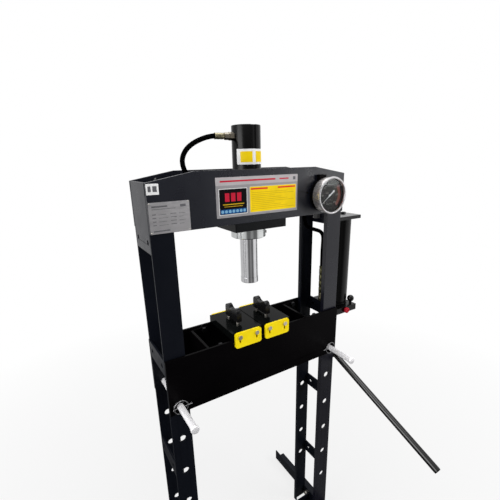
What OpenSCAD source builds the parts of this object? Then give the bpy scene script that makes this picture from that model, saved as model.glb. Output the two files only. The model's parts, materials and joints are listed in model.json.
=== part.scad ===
/* [Frame] */
// Outer width across the uprights
frame_w = 630; // [600:5:700]
// Depth over the front and rear uprights
frame_d = 140; // [135:1:170]
// Width of an upright's face
post_w = 60; // [50:1:70]
// Thickness of an upright's walls
post_t = 6; // [4:0.5:8]
// Depth of the flange on an upright's inner edge
post_lip = 15; // [12:1:25]
// Height of the head plates' lower edge above the floor
head_z = 1358; // [1330:1:1420]
// How far the uprights reach up between the head plates
post_overlap = 90; // [60:1:110]
// Height of the flat ties that join a front upright to its rear one
tie_h = 50.5; // [46:0.5:54]
// Thickness of those ties
tie_t = 6; // [4:0.5:8]
// Height of the lowest free tie above the floor
tie_z = 263; // [240:1:280]
// Distance from one tie to the next
tie_pitch = 350; // [340:1:356]
// Diameter of the round holes in the ties and end plates
tie_hole_d = 13; // [10:0.5:16]
// Distance of those holes from the middle of the frame's depth
tie_hole_y = 45; // [35:1:50]

/* [Feet] */
// Length of a foot, front to back
foot_l = 600; // [500:10:700]
// Width of the flange that lies on the floor
foot_w = 50; // [40:1:60]
// Height of the upright flange of a foot
foot_h = 50; // [45:1:60]
// Thickness of a foot's walls
foot_t = 5; // [4:0.5:8]
// Width of the channel that joins the feet at floor level
cross_w = 60; // [40:1:80]
// Height of that channel
cross_h = 40; // [30:1:50]
// Diameter of the bolts that hold the feet
foot_bolt_d = 12; // [10:0.5:12.5]

/* [Head] */
// Height of a head plate at its ends
head_end_h = 120; // [110:1:130]
// Height of a head plate in the middle
head_mid_h = 142; // [135:1:160]
// Width of the level part of a head plate's upper edge
knee_w = 388; // [300:2:450]
// Thickness of the head plates
head_t = 6; // [4:0.5:10]
// How far the end plates hang below the head plates
end_drop = 52; // [40:1:60]
// Thickness of the end plates
end_t = 6; // [4:0.5:8]
// Width of the seat block that carries the ram
seat_w = 170; // [140:2:200]
// How far the seat block hangs below the head plates
seat_drop = 24; // [18:1:30]

/* [Ram] */
// Outer diameter of the ram barrel
barrel_d = 82; // [78:0.5:88]
// How far the barrel reaches below the head plates
barrel_drop = 58; // [54:1:70]
// How far the barrel stands above the head plates' lower edge
barrel_rise = 257; // [230:1:280]
// Bore of the barrel
bore_d = 60; // [58:0.5:64]
// Diameter of the chrome rod
rod_d = 53.4; // [48:0.2:55]
// How far the rod and nose stand out of the barrel
rod_out = 141; // [120:1:160]
// Height of the rod's loose nose piece
nose_h = 16; // [12:1:24]
// Diameter of the nose piece
nose_d = 55; // [52:0.5:60]
// Height of the groove above the nose
neck_h = 5; // [3:0.5:8]
// Diameter in that groove
neck_d = 49; // [44:0.5:52]
// Height of the piston on the rod
piston_h = 40; // [30:1:50]
// Height of the gland at the foot of the barrel
gland_h = 30; // [24:1:40]
// Thickness of the barrel's closed top
cap_h = 18; // [12:1:24]
// Diameter of the locking collar
collar_d = 106; // [100:1:112]
// Height of the locking collar
collar_h = 28; // [24:1:32]
// Space between the collar and the seat block
collar_gap = 3; // [1:0.5:6]
// Diameter of the collar's set screw
set_screw_d = 8; // [6:0.5:10]

/* [Bed height] */
// Row of holes that the bed hangs in, counted from the lowest
bed_row = 5; // [3:1:5]
// Number of holes in each upright
hole_n = 6; // [6:1:6]
// Height of the lowest hole
hole_z = 264; // [260:1:270]
// Distance from one hole to the next
hole_pitch = 120; // [118:1:121]
// Diameter of the holes for the bed pins
hole_d = 21; // [20.8:0.1:22]

/* [Bed] */
// Height of the bed plates
bed_h = 173.5; // [160:0.5:190]
// Thickness of the bed plates
bed_t = 7.2; // [5:0.2:9]
// Space between the uprights and the bed plates
bed_gap = 0.8; // [0.5:0.1:2]
// Height of the bed pins above the bed's lower edge
bed_pin_up = 23.5; // [20:0.5:40]
// Distance from an upright's inner edge to a cross plate
spacer_in = 77; // [60:1:95]
// Thickness of the cross plates
spacer_t = 8; // [6:0.5:12]
// Width of the flanges at the ends of the cross plates
spacer_flange = 58; // [54:1:64]
// Height of the cross plates
spacer_h = 126; // [90:1:130]
// Distance from the bed's lower edge to the cross plates
spacer_up = 42; // [24:1:46]
// Diameter of the bolts in the cross plates
bed_bolt_d = 10; // [8:0.5:12]

/* [Bed pins] */
// Diameter of a bed pin
pin_d = 20; // [18:0.1:20.2]
// How far a pin stands out in front of the bed
pin_front = 110; // [90:1:130]
// How far a pin stands out behind the bed
pin_back = 22; // [15:1:40]
// Length of the thicker front end of a pin
pin_head_h = 9; // [6:0.5:14]
// Diameter of the thicker front end
pin_head_d = 23; // [21:0.5:26]
// Diameter of the clip wire
clip_wire_d = 3; // [2.5:0.1:4]
// Outer diameter of the clip's ring
clip_d = 44; // [38:0.5:50]
// Distance from the bed's face to the clip
clip_gap = 6; // [4:0.5:10]
// Length of the clip's straight leg
clip_leg = 57; // [52:1:64]

/* [Press blocks] */
// Width of a press block
block_w = 103; // [95:1:106]
// Height of a press block
block_h = 23; // [18:0.5:30]
// Where the left block starts, to the left of the middle
block_left = 110; // [105:1:116]
// Gap between the two press blocks
block_gap = 3; // [1:0.5:8]
// Width of the yellow end plates
plate_w = 91; // [86:1:96]
// Height of the end plates
plate_h = 49; // [45:1:55]
// Thickness of the end plates
plate_t = 6; // [4:0.5:8]
// Radius of the end plates' corners
plate_r = 8; // [4:0.5:12]
// Distance of the end plates' bolts from the middle of a block
plate_bolt_x = 29; // [24:1:34]
// Distance from a block's top down to those bolts
plate_bolt_down = 14.5; // [12:0.5:16]
// Diameter of the end plates' bolts
plate_bolt_d = 8; // [6:0.5:10]
// Length of the slot below each of these bolts
plate_slot_h = 17; // [12:1:20]
// Width of those slots
plate_slot_w = 6; // [4:0.5:7]

/* [Block handles] */
// Thickness of a block's handle
bow_w = 16; // [13:1:20]
// Height of the handle above its block
bow_h = 48.5; // [42:0.5:56]
// Space between the block and the handle's underside
bow_gap = 8; // [6:0.5:12]
// Distance from one of the handle's round lobes to the other
bow_l = 52; // [46:1:60]
// Diameter of a lobe
bow_lobe_d = 25; // [22:1:28]
// Depth of the dip between the lobes
bow_dip = 11; // [8:0.5:12]
// Distance between the handle's two studs
bow_stud_l = 58; // [50:1:62]
// Diameter of the studs
bow_stud_d = 8; // [6:0.5:9]
// Width across the corners of the nut around each stud
bow_nut_d = 13; // [11:0.5:15]

/* [Gauge] */
// Distance from the frame's outer face to the middle of the gauge
gauge_in = 93; // [75:1:105]
// Height of the gauge's middle above the head plates' lower edge
gauge_up = 59; // [54:1:64]
// Diameter of the gauge's bezel
bezel_d = 110; // [104:1:116]
// Width of the bezel's front lip
bezel_lip = 6; // [5:0.5:8]
// Wall of the bezel around the case
bezel_wall = 3; // [2:0.2:4]
// How far the bezel reaches back over the case
bezel_back = 8; // [5:1:12]
// Depth of the bezel's front lip
bezel_front = 4; // [3:0.5:6]
// Depth of the gauge case
case_l = 29; // [26:1:40]
// Wall of the gauge case
case_wall = 2; // [1.5:0.1:3]
// Depth of the flange behind the case
flange_l = 14; // [10:1:20]
// Thickness of the window
window_t = 2; // [1.5:0.1:3]
// Distance from the window's back to the dial
dial_down = 9; // [8:0.5:12]
// Thickness of the dial
dial_t = 2; // [1.5:0.1:3]
// Length of the needle from its pivot to its point
needle_l = 40; // [30:1:42]
// Length of the needle's tail
needle_tail = 14; // [8:1:18]
// Thickness of the needle
needle_t = 1.5; // [1:0.1:2]
// Diameter of the needle's spindle
spindle_d = 3; // [2:0.2:4]
// Diameter of the pipe from the gauge
pipe_d = 14; // [12:0.5:16]
// How far the gauge's pipe reaches below the head plates
pipe_drop = 16; // [10:1:24]

/* [Pump] */
// Length of the pump's base block, away from the frame
base_w = 105; // [102:1:120]
// Depth of the base block
base_d = 140; // [130:1:160]
// Height of the base block
base_h = 22; // [18:1:26]
// Height of the base block above the upper tie's lower edge
base_up = 16; // [12:0.5:20]
// Length of the shelf above the tank
shelf_w = 104; // [100:1:120]
// Thickness of that shelf
shelf_t = 12; // [8:1:14]
// Depth of that shelf
shelf_d = 132; // [120:1:140]
// Distance from the head plates' lower edge down to the shelf's top
shelf_down = 23.5; // [20:0.5:30]
// Diameter of the tank
tank_d = 90; // [80:1:94]
// Wall of the tank
tank_wall = 3; // [2:0.5:5]
// Distance of the tank's middle from the frame
tank_x = 59; // [56:1:60]
// Distance of the tank's middle in front of the frame's middle
tank_y = 5; // [0:1:12]
// Diameter of the shelf's screw
shelf_screw_d = 12; // [8:0.5:16]
// Distance of the shelf's screw from the frame
shelf_screw_x = 80; // [70:1:86]
// Diameter of the pump barrel under the base block
pump_d = 32; // [30:0.5:34]
// Length of the pump barrel
pump_l = 100; // [90:1:110]
// Diameter of the plunger
plunger_d = 14; // [12:0.5:16]
// Depth of the bore beyond the plunger's end
plunger_end = 15; // [12:1:20]
// Distance from the frame to the plane of the pump lever
lever_x = 25; // [22:0.5:26]
// Distance from the base block's underside down to the plunger's pin
pump_drop = 150.8; // [145:0.2:155]

/* [Pump controls] */
// Distance of the release knob from the frame
knob_x = 51; // [48:1:60]
// Diameter of the release knob
knob_d = 24; // [20:0.5:28]
// Length of the release knob
knob_l = 10; // [8:0.5:14]
// Diameter of the stems of the two knobs
stem_d = 8; // [6:0.5:9]
// Distance of the ball knob from the frame
ball_x = 93; // [88:1:96]
// Distance of the ball knob behind the base block's front
ball_y = 17; // [16:1:24]
// Diameter of the ball knob
ball_d = 25; // [22:0.5:28]
// Height of the ball's middle above the base block
ball_up = 19; // [18:0.5:26]

/* [Lever] */
// Angle of the lever below the horizontal
lever_tilt = 22.1; // [18:0.1:26]
// Distance from the lever's pivot to the plunger's pin
lever_arm = 30; // [28:0.5:32]
// Height of the lever's cheeks
cheek_h = 22; // [20:0.5:24]
// Thickness of each cheek
cheek_t = 6; // [5:0.5:7]
// Thickness of the plunger's eye between the cheeks
eye_t = 6; // [5:0.5:8]
// Thickness of the two hanger straps
strap_t = 5; // [4:0.5:6]
// Width of the hanger straps
strap_w = 20; // [18:0.5:22]
// Diameter of the lever's two pins
lever_pin_d = 8; // [7:0.2:9]
// Side play between the lever's pieces
side_play = 0.6; // [0.4:0.1:1]
// Length of the lever's stub inside the handle
stub_l = 46; // [40:1:60]
// Diameter of the pump handle
handle_d = 21; // [19:0.2:22]
// Wall of the handle's tube
handle_wall = 2; // [1.5:0.1:3]
// Length of the pump handle
handle_l = 460; // [420:5:520]

/* [Hose] */
// Diameter of the hose
hose_d = 13; // [12:0.2:14]
// Diameter of the sleeves pressed on the hose
ferrule_d = 17; // [16:0.2:19]
// Width of the hose nuts over their corners
hose_nut_d = 20; // [18:0.5:22]
// Length of the sleeve and nut on the pump's end
ferrule_pump_l = 117; // [100:1:130]
// Length of the sleeve and nut on the ram's end
ferrule_ram_l = 43; // [36:1:46]
// Length of the hose nuts
hose_nut_l = 14; // [10:1:18]
// Distance of the hose's lower end inside the frame's side
outlet_in = 9; // [8.5:0.5:10]
// Distance from the barrel's top down to its port
port_down = 29; // [25:0.5:34]

/* [Hidden] */
$fn = 64;

// Small distances
eps = 0.5;          // how far a cut runs past a face
fit = 0.05;         // radial clearance of a shaft in its hole
loose = 0.3;        // clearance of a part that passes through another

// Frame
side_x = frame_w / 2;
face_y = frame_d / 2;
pin_x = side_x - post_w / 2;
post_top = head_z + post_overlap;
tie_count = 3;
tie_levels = [0, for (i = [0:tie_count - 1]) tie_z + i * tie_pitch];
tie_top_z = tie_z + (tie_count - 1) * tie_pitch;
bolt_head_h = 7;
bolt_nut_h = 9;

// Bed
bed_z = hole_z + bed_row * hole_pitch - bed_pin_up;
pin_z = bed_z + bed_pin_up;
bed_top = bed_z + bed_h;
bed_in_y = face_y + bed_gap;
bed_out_y = bed_in_y + bed_t;
spacer_x = side_x - post_w - spacer_in;
cross_x = [-spacer_x - spacer_t, spacer_x];
bed_bolt_x = 45;
bed_bolt_z = bed_z + spacer_up + spacer_h - 8;
bed_nut_h = 8;

// Ram
barrel_z = head_z - barrel_drop;
barrel_top = head_z + barrel_rise;
bore_top = barrel_top - cap_h;
seat_z = head_z - seat_drop;
rod_z = barrel_z - rod_out;
piston_gap = 5;
piston_top = bore_top - piston_gap;
collar_top = seat_z - collar_gap;
port_z = barrel_top - port_down;
port_stub_d = 12;
port_stub_l = 7;
port_hex_l = 14;
screw_turn = -40;

// Press blocks
block_l = 2 * bed_out_y;
block_top = bed_top + block_h;
block_mid = [-block_left + block_w / 2, -block_left + 1.5 * block_w + block_gap];
plate_bolt_z = block_top - plate_bolt_down;
plate_bolt_l = 16;
plate_head_d = 13;
plate_head_h = 4;
bow_shift = [-3, 3];
bow_stud_in = 13;

// Gauge
gauge_x = side_x - gauge_in;
gauge_z = head_z + gauge_up;
case_d = bezel_d - 2 * bezel_wall - 2 * fit;
window_z = flange_l + case_l;
dial_z = window_z - dial_down - dial_t;
flange_d = case_d - 6;
pipe_in = 15;
pipe_y = face_y - pipe_in;
pipe_hex_d = 22;
pipe_hex_h = 24;
needle_turn = 218;

// Pump
base_z = tie_top_z + base_up;
base_top = base_z + base_h;
base_y = base_d / 2;
shelf_z = head_z - shelf_down - shelf_t;
outlet_x = side_x - outlet_in;
outlet_up = 12;
outlet_z = max(base_top, tie_top_z + tie_h) + outlet_up;
outlet_stub_x = side_x + 7;
outlet_d = 12;
outlet_body_h = 17;
stem_in = 14;
knob_gap = 1.5;

// Pump lever
plane_x = side_x + lever_x;
pin_low_z = base_z - pump_drop;
pivot_y = -lever_arm * cos(lever_tilt);
pivot_z = pin_low_z - lever_arm * sin(lever_tilt);
gland_d = pump_d + 4;
gland_l = 14;
rod_start = 22;
eye_w = 28;
slot_play = 3.4;
slot_rise = 0.7;
cheek_in = eye_t / 2 + side_play;
cheek_out = cheek_in + cheek_t;
strap_in = cheek_out + side_play;
strap_out = strap_in + strap_t;
pin_cap_h = 3;
bridge_y = cheek_h / 2 + 9;
bridge_l = 14;
stub_d = handle_d - 2 * handle_wall - 2 * fit;
plug_l = 12;

// Hose route, from the pump's sleeve to the ram's
hose_route = [
    [306, 0, 1155], [306, 0, 1180], [306, 0, 1210], [307, 0, 1238], [307, 0, 1256],
    [302, 0, 1271], [291, 0, 1281], [276, 0, 1287], [258, 0, 1293], [241, 0, 1300],
    [228, 1, 1311], [222, 2, 1328], [218, 5, 1350], [208, 12, 1376], [190, 26, 1398],
    [164, 40, 1413], [128, 51, 1423], [86, 56, 1429], [40, 57, 1433], [-5, 57, 1436],
    [-50, 57, 1439], [-92, 54, 1443], [-128, 45, 1450], [-155, 30, 1461],
    [-173, 13, 1477], [-185, 3, 1495], [-192, 0, 1512], [-192, 0, 1530], [-183, 0, 1548],
    [-168, 0, 1562], [-148, 0, 1573], [-126, 0, 1581], [-108, 0, 1585]
];
hose_start = [outlet_x, 0, outlet_z + outlet_body_h / 2 + ferrule_pump_l];
hose_end = [-barrel_d / 2 - loose - port_hex_l - ferrule_ram_l, 0, port_z];
hose_sides = 10;
hose_points = concat([hose_start], hose_route, [hose_end]);

// Sweep of a round tube along a list of points
function unit(v) = v / norm(v);
function turn_at(p, i) = unit(p[min(i + 1, len(p) - 1)] - p[max(i - 1, 0)]);
function side_at(t) = unit(cross(t, [0, 1, 0]));
function ring(p, t, r, n) =
    let (a = side_at(t), b = cross(t, a))
    [for (k = [0:n - 1]) p + r * (cos(360 * k / n) * a + sin(360 * k / n) * b)];
function end_dir(p, i) = i == 0 ? [0, 0, 1] : i == len(p) - 1 ? [1, 0, 0] : turn_at(p, i);

module tube_along(p, r, n) {
    m = len(p);
    rings = [for (i = [0:m - 1]) each ring(p[i], end_dir(p, i), r, n)];
    sides = [
        for (i = [0:m - 2], k = [0:n - 1])
            let (a = i * n + k, b = i * n + (k + 1) % n)
                each [[a, b, b + n], [a, b + n, a + n]]
    ];
    caps = [
        [for (k = [0:n - 1]) n - 1 - k],
        [for (k = [0:n - 1]) (m - 1) * n + k]
    ];
    polyhedron(points = rings, faces = concat(sides, caps), convexity = 6);
}

// Helpers
module rod_y(d, l) {
    rotate([-90, 0, 0]) cylinder(d = d, h = l);
}

module rod_x(d, l) {
    rotate([0, 90, 0]) cylinder(d = d, h = l);
}

module hex_x(d, l) {
    rotate([0, 90, 0]) cylinder(d = d, h = l, $fn = 6);
}

module other_side() {
    mirror([1, 0, 0]) children();
}

module behind() {
    mirror([0, 1, 0]) children();
}

module rounded_plate(w, h, r) {
    square([w - 2 * r, h], center = true);
    square([w, h - 2 * r], center = true);
    for (sx = [-1, 1], sy = [-1, 1])
        translate([sx * (w / 2 - r), sy * (h / 2 - r)]) circle(r = r);
}

// Right front upright; the others are its mirror images
module upright() {
    color("#26282b")
        difference() {
            translate([side_x - post_w, -face_y, 0])
                linear_extrude(post_top)
                    polygon([
                        [0, 0], [post_w, 0], [post_w, post_t],
                        [post_t, post_t], [post_t, post_lip], [0, post_lip]
                    ]);
            for (i = [0:hole_n - 1])
                translate([pin_x, -face_y - eps, hole_z + i * hole_pitch])
                    rod_y(hole_d, post_t + 2 * eps);
        }
}

module post_right_front() { upright(); }
module post_right_rear() { behind() upright(); }
module post_left_front() { other_side() upright(); }
module post_left_rear() { other_side() behind() upright(); }

// Flat ties between a front upright and its rear one
module ties_right() {
    color("#303236")
        for (z = tie_levels)
            difference() {
                translate([side_x - tie_t, -face_y + post_t, z])
                    cube([tie_t, frame_d - 2 * post_t, tie_h]);
                for (s = [-1, 1])
                    translate([side_x - tie_t - eps, s * tie_hole_y, z + tie_h / 2])
                        rod_x(tie_hole_d, tie_t + 2 * eps);
            }
}

module ties_left() { other_side() ties_right(); }

module foot_right() {
    color("#26282b")
        difference() {
            translate([side_x, foot_l / 2, 0])
                rotate([90, 0, 0])
                    linear_extrude(foot_l)
                        polygon([
                            [0, 0], [foot_w, 0], [foot_w, foot_t],
                            [foot_t, foot_t], [foot_t, foot_h], [0, foot_h]
                        ]);
            for (s = [-1, 1])
                translate([side_x - eps, s * tie_hole_y, tie_h / 2])
                    rod_x(foot_bolt_d + 2 * loose, foot_t + 2 * eps);
        }
}

module foot_left() { other_side() foot_right(); }

// Channel that lies on the floor between the two sides
module base_cross() {
    l = frame_w - 2 * tie_t;
    color("#26282b")
        translate([-l / 2, 0, 0])
            rotate([90, 0, 90])
                linear_extrude(l)
                    polygon([
                        [-cross_w / 2, 0], [cross_w / 2, 0],
                        [cross_w / 2, cross_h], [cross_w / 2 - foot_t, cross_h],
                        [cross_w / 2 - foot_t, foot_t], [-cross_w / 2 + foot_t, foot_t],
                        [-cross_w / 2 + foot_t, cross_h], [-cross_w / 2, cross_h]
                    ]);
}

module foot_bolts() {
    grip = tie_t + foot_t;
    color("silver")
        for (side = [0, 1], s = [-1, 1])
            mirror([side, 0, 0])
                translate([side_x - tie_t, s * tie_hole_y, tie_h / 2]) {
                    rod_x(foot_bolt_d, grip);
                    translate([grip, 0, 0]) hex_x(foot_bolt_d * 1.9, bolt_head_h);
                    translate([-bolt_nut_h, 0, 0]) hex_x(foot_bolt_d * 1.9, bolt_nut_h);
                }
}

// Head
module head_plate() {
    top = head_z + head_end_h;
    color("#26282b")
        rotate([90, 0, 0])
            linear_extrude(head_t)
                polygon([
                    [-side_x, head_z], [side_x, head_z], [side_x, top],
                    [knee_w / 2, head_z + head_mid_h], [-knee_w / 2, head_z + head_mid_h],
                    [-side_x, top]
                ]);
}

module head_front_plate() {
    color("#26282b")
        difference() {
            translate([0, -face_y, 0]) head_plate();
            translate([gauge_x, -face_y - head_t - eps, gauge_z])
                rod_y(pipe_d + 2 * loose, head_t + 2 * eps);
        }
}

module head_rear_plate() {
    translate([0, face_y + head_t, 0]) head_plate();
}

module head_end_plate_right() {
    z = head_z - end_drop;
    hole_up = 28;
    color("#6c6f74")
        difference() {
            translate([side_x - end_t, -face_y + post_t, z])
                cube([end_t, frame_d - 2 * post_t, end_drop + head_end_h]);
            for (s = [-1, 1])
                translate([side_x - end_t - eps, s * tie_hole_y, z + hole_up])
                    rod_x(tie_hole_d, end_t + 2 * eps);
        }
}

module head_end_plate_left() { other_side() head_end_plate_right(); }

module head_seat() {
    color("#1c1d1f")
        difference() {
            translate([-seat_w / 2, -face_y - head_t, seat_z])
                cube([seat_w, frame_d + 2 * head_t, seat_drop]);
            translate([0, 0, seat_z - eps])
                cylinder(d = barrel_d + 2 * loose, h = seat_drop + 2 * eps);
        }
}

// Ram
module ram_barrel() {
    notch_w = 10;
    notch_h = 4;
    color("#1b1c1e")
        difference() {
            translate([0, 0, barrel_z]) cylinder(d = barrel_d, h = barrel_top - barrel_z);
            translate([0, 0, barrel_z - eps])
                cylinder(d = rod_d + 2 * fit, h = gland_h + 2 * eps);
            translate([0, 0, barrel_z + gland_h])
                cylinder(d = bore_d, h = bore_top - barrel_z - gland_h);
            translate([-barrel_d / 2 - eps, 0, port_z])
                rod_x(port_stub_d + 2 * fit, barrel_d / 2);
            translate([-notch_w / 2, -barrel_d / 2 - eps, barrel_top - notch_h])
                cube([notch_w, barrel_d / 6, notch_h + eps]);
        }
}

module lock_collar() {
    color("#232426")
        translate([0, 0, collar_top - collar_h])
            difference() {
                cylinder(d = collar_d, h = collar_h);
                translate([0, 0, -eps]) cylinder(d = barrel_d + 2 * fit, h = collar_h + 2 * eps);
                rotate([0, 0, screw_turn])
                    translate([0, 0, collar_h / 2])
                        rod_x(set_screw_d + 2 * fit, collar_d);
            }
}

module set_screw() {
    l = (collar_d - barrel_d) / 2 - 2 * fit;
    key_d = set_screw_d / 2;
    color("silver")
        rotate([0, 0, screw_turn])
            translate([barrel_d / 2 + 2 * fit, 0, collar_top - collar_h / 2])
                difference() {
                    rod_x(set_screw_d, l + 2);
                    translate([l - 2, 0, 0]) hex_x(key_d, 4 + eps);
                }
}

module ram_rod() {
    color("#d5d8dc") {
        translate([0, 0, rod_z + nose_h]) cylinder(d = neck_d, h = neck_h + eps);
        translate([0, 0, rod_z + nose_h + neck_h])
            cylinder(d = rod_d, h = piston_top - rod_z - nose_h - neck_h);
        translate([0, 0, piston_top - piston_h])
            cylinder(d = bore_d - 2 * fit, h = piston_h);
    }
}

module ram_nose() {
    bevel = 1.5;
    color("#d5d8dc")
        translate([0, 0, rod_z])
            rotate_extrude()
                polygon([
                    [0, 0], [nose_d / 2 - bevel, 0], [nose_d / 2, bevel],
                    [nose_d / 2, nose_h - bevel], [nose_d / 2 - bevel, nose_h], [0, nose_h]
                ]);
}

// Gauge, built on the front head plate with its axis pointing forward
module on_gauge() {
    translate([gauge_x, -face_y - head_t, gauge_z]) rotate([90, 0, 0]) children();
}

module gauge_flange() {
    ear_w = 26;
    ear_h = 8;
    color("#141516")
        on_gauge()
            difference() {
                union() {
                    cylinder(d = flange_d, h = flange_l);
                    translate([-ear_w + 4, 0, 0])
                        cube([ear_w, case_d / 2 + ear_h, flange_l]);
                }
                translate([0, 0, -eps]) cylinder(d = pipe_d + 2 * loose, h = flange_l + 2 * eps);
            }
}

module gauge_case() {
    color("#b9bcc0")
        on_gauge()
            difference() {
                translate([0, 0, flange_l]) cylinder(d = case_d, h = case_l);
                translate([0, 0, flange_l + 3 * case_wall])
                    cylinder(d = case_d - 2 * case_wall, h = case_l);
                translate([0, 0, flange_l - eps])
                    cylinder(d = pipe_d + 2 * fit, h = 2 * case_wall + eps);
            }
}

module gauge_bezel() {
    r = bezel_d / 2;
    back = window_z - bezel_back;
    step = window_z + window_t;
    front = step + bezel_front;
    color("#d9dbde")
        on_gauge()
            rotate_extrude()
                polygon([
                    [r - bezel_wall, back], [r, back], [r, front - 1], [r - 1, front],
                    [r - bezel_lip + 1, front], [r - bezel_lip, front - 1],
                    [r - bezel_lip, step], [r - bezel_wall, step]
                ]);
}

module gauge_window() {
    color([0.8, 0.9, 0.95, 0.3])
        on_gauge()
            translate([0, 0, window_z]) cylinder(d = case_d, h = window_t);
}

module gauge_dial() {
    color("#1a1a1b")
        on_gauge()
            difference() {
                translate([0, 0, dial_z])
                    cylinder(d = case_d - 2 * case_wall - 2 * fit, h = dial_t);
                translate([0, 0, dial_z - eps])
                    cylinder(d = spindle_d + 2 * fit, h = dial_t + 2 * eps);
            }
}

module gauge_needle() {
    hub_d = 6;
    end_d = 8;
    body_w = 4;
    body_l = 8;
    tip_w = 1.2;
    low = dial_z + dial_t + 1.5;
    color("white")
        on_gauge() {
            translate([0, 0, dial_z - 2]) cylinder(d = spindle_d, h = low + needle_t - dial_z + 2);
            translate([0, 0, low])
                rotate([0, 0, needle_turn]) {
                    cylinder(d = hub_d, h = needle_t);
                    translate([-needle_tail, 0, 0]) cylinder(d = end_d, h = needle_t);
                    linear_extrude(needle_t)
                        polygon([
                            [-needle_tail, -body_w / 2], [body_l, -body_w / 2],
                            [needle_l, -tip_w / 2], [needle_l, tip_w / 2],
                            [body_l, body_w / 2], [-needle_tail, body_w / 2]
                        ]);
                }
        }
}

module gauge_pipe() {
    low = head_z - pipe_drop;
    back = case_wall * 2 - eps;
    elbow_d = pipe_d + 4;
    color("#a8a79a") {
        translate([gauge_x, -face_y - head_t - flange_l - back, gauge_z])
            rod_y(pipe_d, head_t + flange_l + back + face_y - pipe_y);
        translate([gauge_x, -pipe_y, low]) cylinder(d = elbow_d, h = gauge_z - low + elbow_d / 2);
        translate([gauge_x, -pipe_y, low]) cylinder(d = pipe_hex_d, h = pipe_hex_h, $fn = 6);
    }
}

// Hose and its fittings
module hose() {
    color("#161617") tube_along(hose_points, hose_d / 2, hose_sides);
}

module hose_ferrule_pump() {
    z = outlet_z + outlet_body_h / 2;
    color("#c9c29a")
        translate([outlet_x, 0, z]) {
            cylinder(d = hose_nut_d * 0.9, h = hose_nut_l, $fn = 6);
            cylinder(d = ferrule_d, h = ferrule_pump_l);
        }
}

module hose_ferrule_ram() {
    color("#c9c29a")
        translate([hose_end[0], 0, port_z]) {
            rod_x(ferrule_d, ferrule_ram_l);
            translate([ferrule_ram_l - hose_nut_l, 0, 0]) hex_x(hose_nut_d, hose_nut_l);
        }
}

module ram_port() {
    x = -barrel_d / 2 - loose;
    color("#c9c29a")
        translate([0, 0, port_z]) {
            translate([x - port_hex_l, 0, 0]) hex_x(hose_nut_d + 2, port_hex_l);
            translate([x - eps, 0, 0]) rod_x(port_stub_d, port_stub_l);
        }
}

module pump_outlet() {
    color("#c9c29a") {
        translate([outlet_stub_x, 0, base_top])
            cylinder(d = outlet_d, h = outlet_z - base_top + outlet_d / 2);
        translate([outlet_x, 0, outlet_z]) rod_x(outlet_d, outlet_stub_x - outlet_x);
        translate([outlet_x, 0, outlet_z - outlet_body_h / 2])
            cylinder(d = hose_nut_d * 0.85, h = outlet_body_h);
    }
}

// Pump
module pump_shelf() {
    color("#3a3c40")
        difference() {
            translate([side_x, -shelf_d / 2, shelf_z]) cube([shelf_w, shelf_d, shelf_t]);
            translate([side_x + shelf_screw_x, -tank_y, shelf_z - eps])
                cylinder(d = shelf_screw_d + 2 * fit, h = shelf_t + 2 * eps);
        }
}

module shelf_screw() {
    head_h = 5;
    color("#9a9da1")
        translate([side_x + shelf_screw_x, -tank_y, shelf_z]) {
            cylinder(d = shelf_screw_d, h = shelf_t);
            translate([0, 0, shelf_t]) cylinder(d = shelf_screw_d * 1.5, h = head_h, $fn = 6);
        }
}

module pump_tank() {
    color("#141516")
        translate([side_x + tank_x, -tank_y, base_top])
            difference() {
                cylinder(d = tank_d, h = shelf_z - base_top);
                translate([0, 0, tank_wall])
                    cylinder(d = tank_d - 2 * tank_wall, h = shelf_z - base_top - 2 * tank_wall);
            }
}

module pump_base() {
    color("#8c8f94")
        difference() {
            translate([side_x, -base_y, base_z]) cube([base_w, base_d, base_h]);
            translate([side_x + knob_x, -base_y - eps, base_z + base_h / 2])
                rod_y(stem_d + 2 * fit, stem_in + 1 + eps);
            translate([side_x + ball_x, -base_y + ball_y, base_top - stem_in - 1])
                cylinder(d = stem_d + 2 * fit, h = stem_in + 1 + eps);
        }
}

module pump_barrel() {
    color("#1b1c1e")
        difference() {
            translate([plane_x, 0, base_z - pump_l]) {
                cylinder(d = pump_d, h = pump_l);
                cylinder(d = gland_d, h = gland_l, $fn = 6);
            }
            translate([plane_x, 0, base_z - pump_l - eps])
                cylinder(d = plunger_d + 2 * fit, h = pump_l - 4 + eps);
        }
}

module pump_plunger() {
    slot_d = lever_pin_d + 2 * slot_rise;
    top = base_z - 4 - plunger_end;
    eye_low = pin_low_z - cheek_h / 2;
    color("#b9bcc0")
        difference() {
            union() {
                translate([plane_x, 0, pin_low_z + rod_start])
                    cylinder(d = plunger_d, h = top - pin_low_z - rod_start);
                translate([plane_x - eye_t / 2, -eye_w / 2, eye_low])
                    cube([eye_t, eye_w, cheek_h / 2 + rod_start + 2]);
            }
            for (s = [-1, 1])
                translate([plane_x - eye_t, s * slot_play, pin_low_z]) rod_x(slot_d, 2 * eye_t);
            translate([plane_x - eye_t, -slot_play, pin_low_z - slot_d / 2])
                cube([2 * eye_t, 2 * slot_play, slot_d]);
        }
}

module lever_hanger() {
    low = pivot_z - strap_w / 2;
    color("#26282b")
        difference() {
            for (s = [-1, 1])
                translate([plane_x + s * (strap_in + strap_t / 2) - strap_t / 2, pivot_y - strap_w / 2, low])
                    cube([strap_t, strap_w, base_z - low]);
            translate([plane_x - strap_out - eps, pivot_y, pivot_z])
                rod_x(lever_pin_d + 2 * fit, 2 * strap_out + 2 * eps);
        }
}

module lever_pivot_pin() {
    color("silver")
        translate([plane_x - strap_out, pivot_y, pivot_z]) {
            rod_x(lever_pin_d, 2 * strap_out);
            translate([-pin_cap_h, 0, 0]) rod_x(lever_pin_d * 1.5, pin_cap_h);
            translate([2 * strap_out, 0, 0]) rod_x(lever_pin_d * 1.5, pin_cap_h);
        }
}

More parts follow.
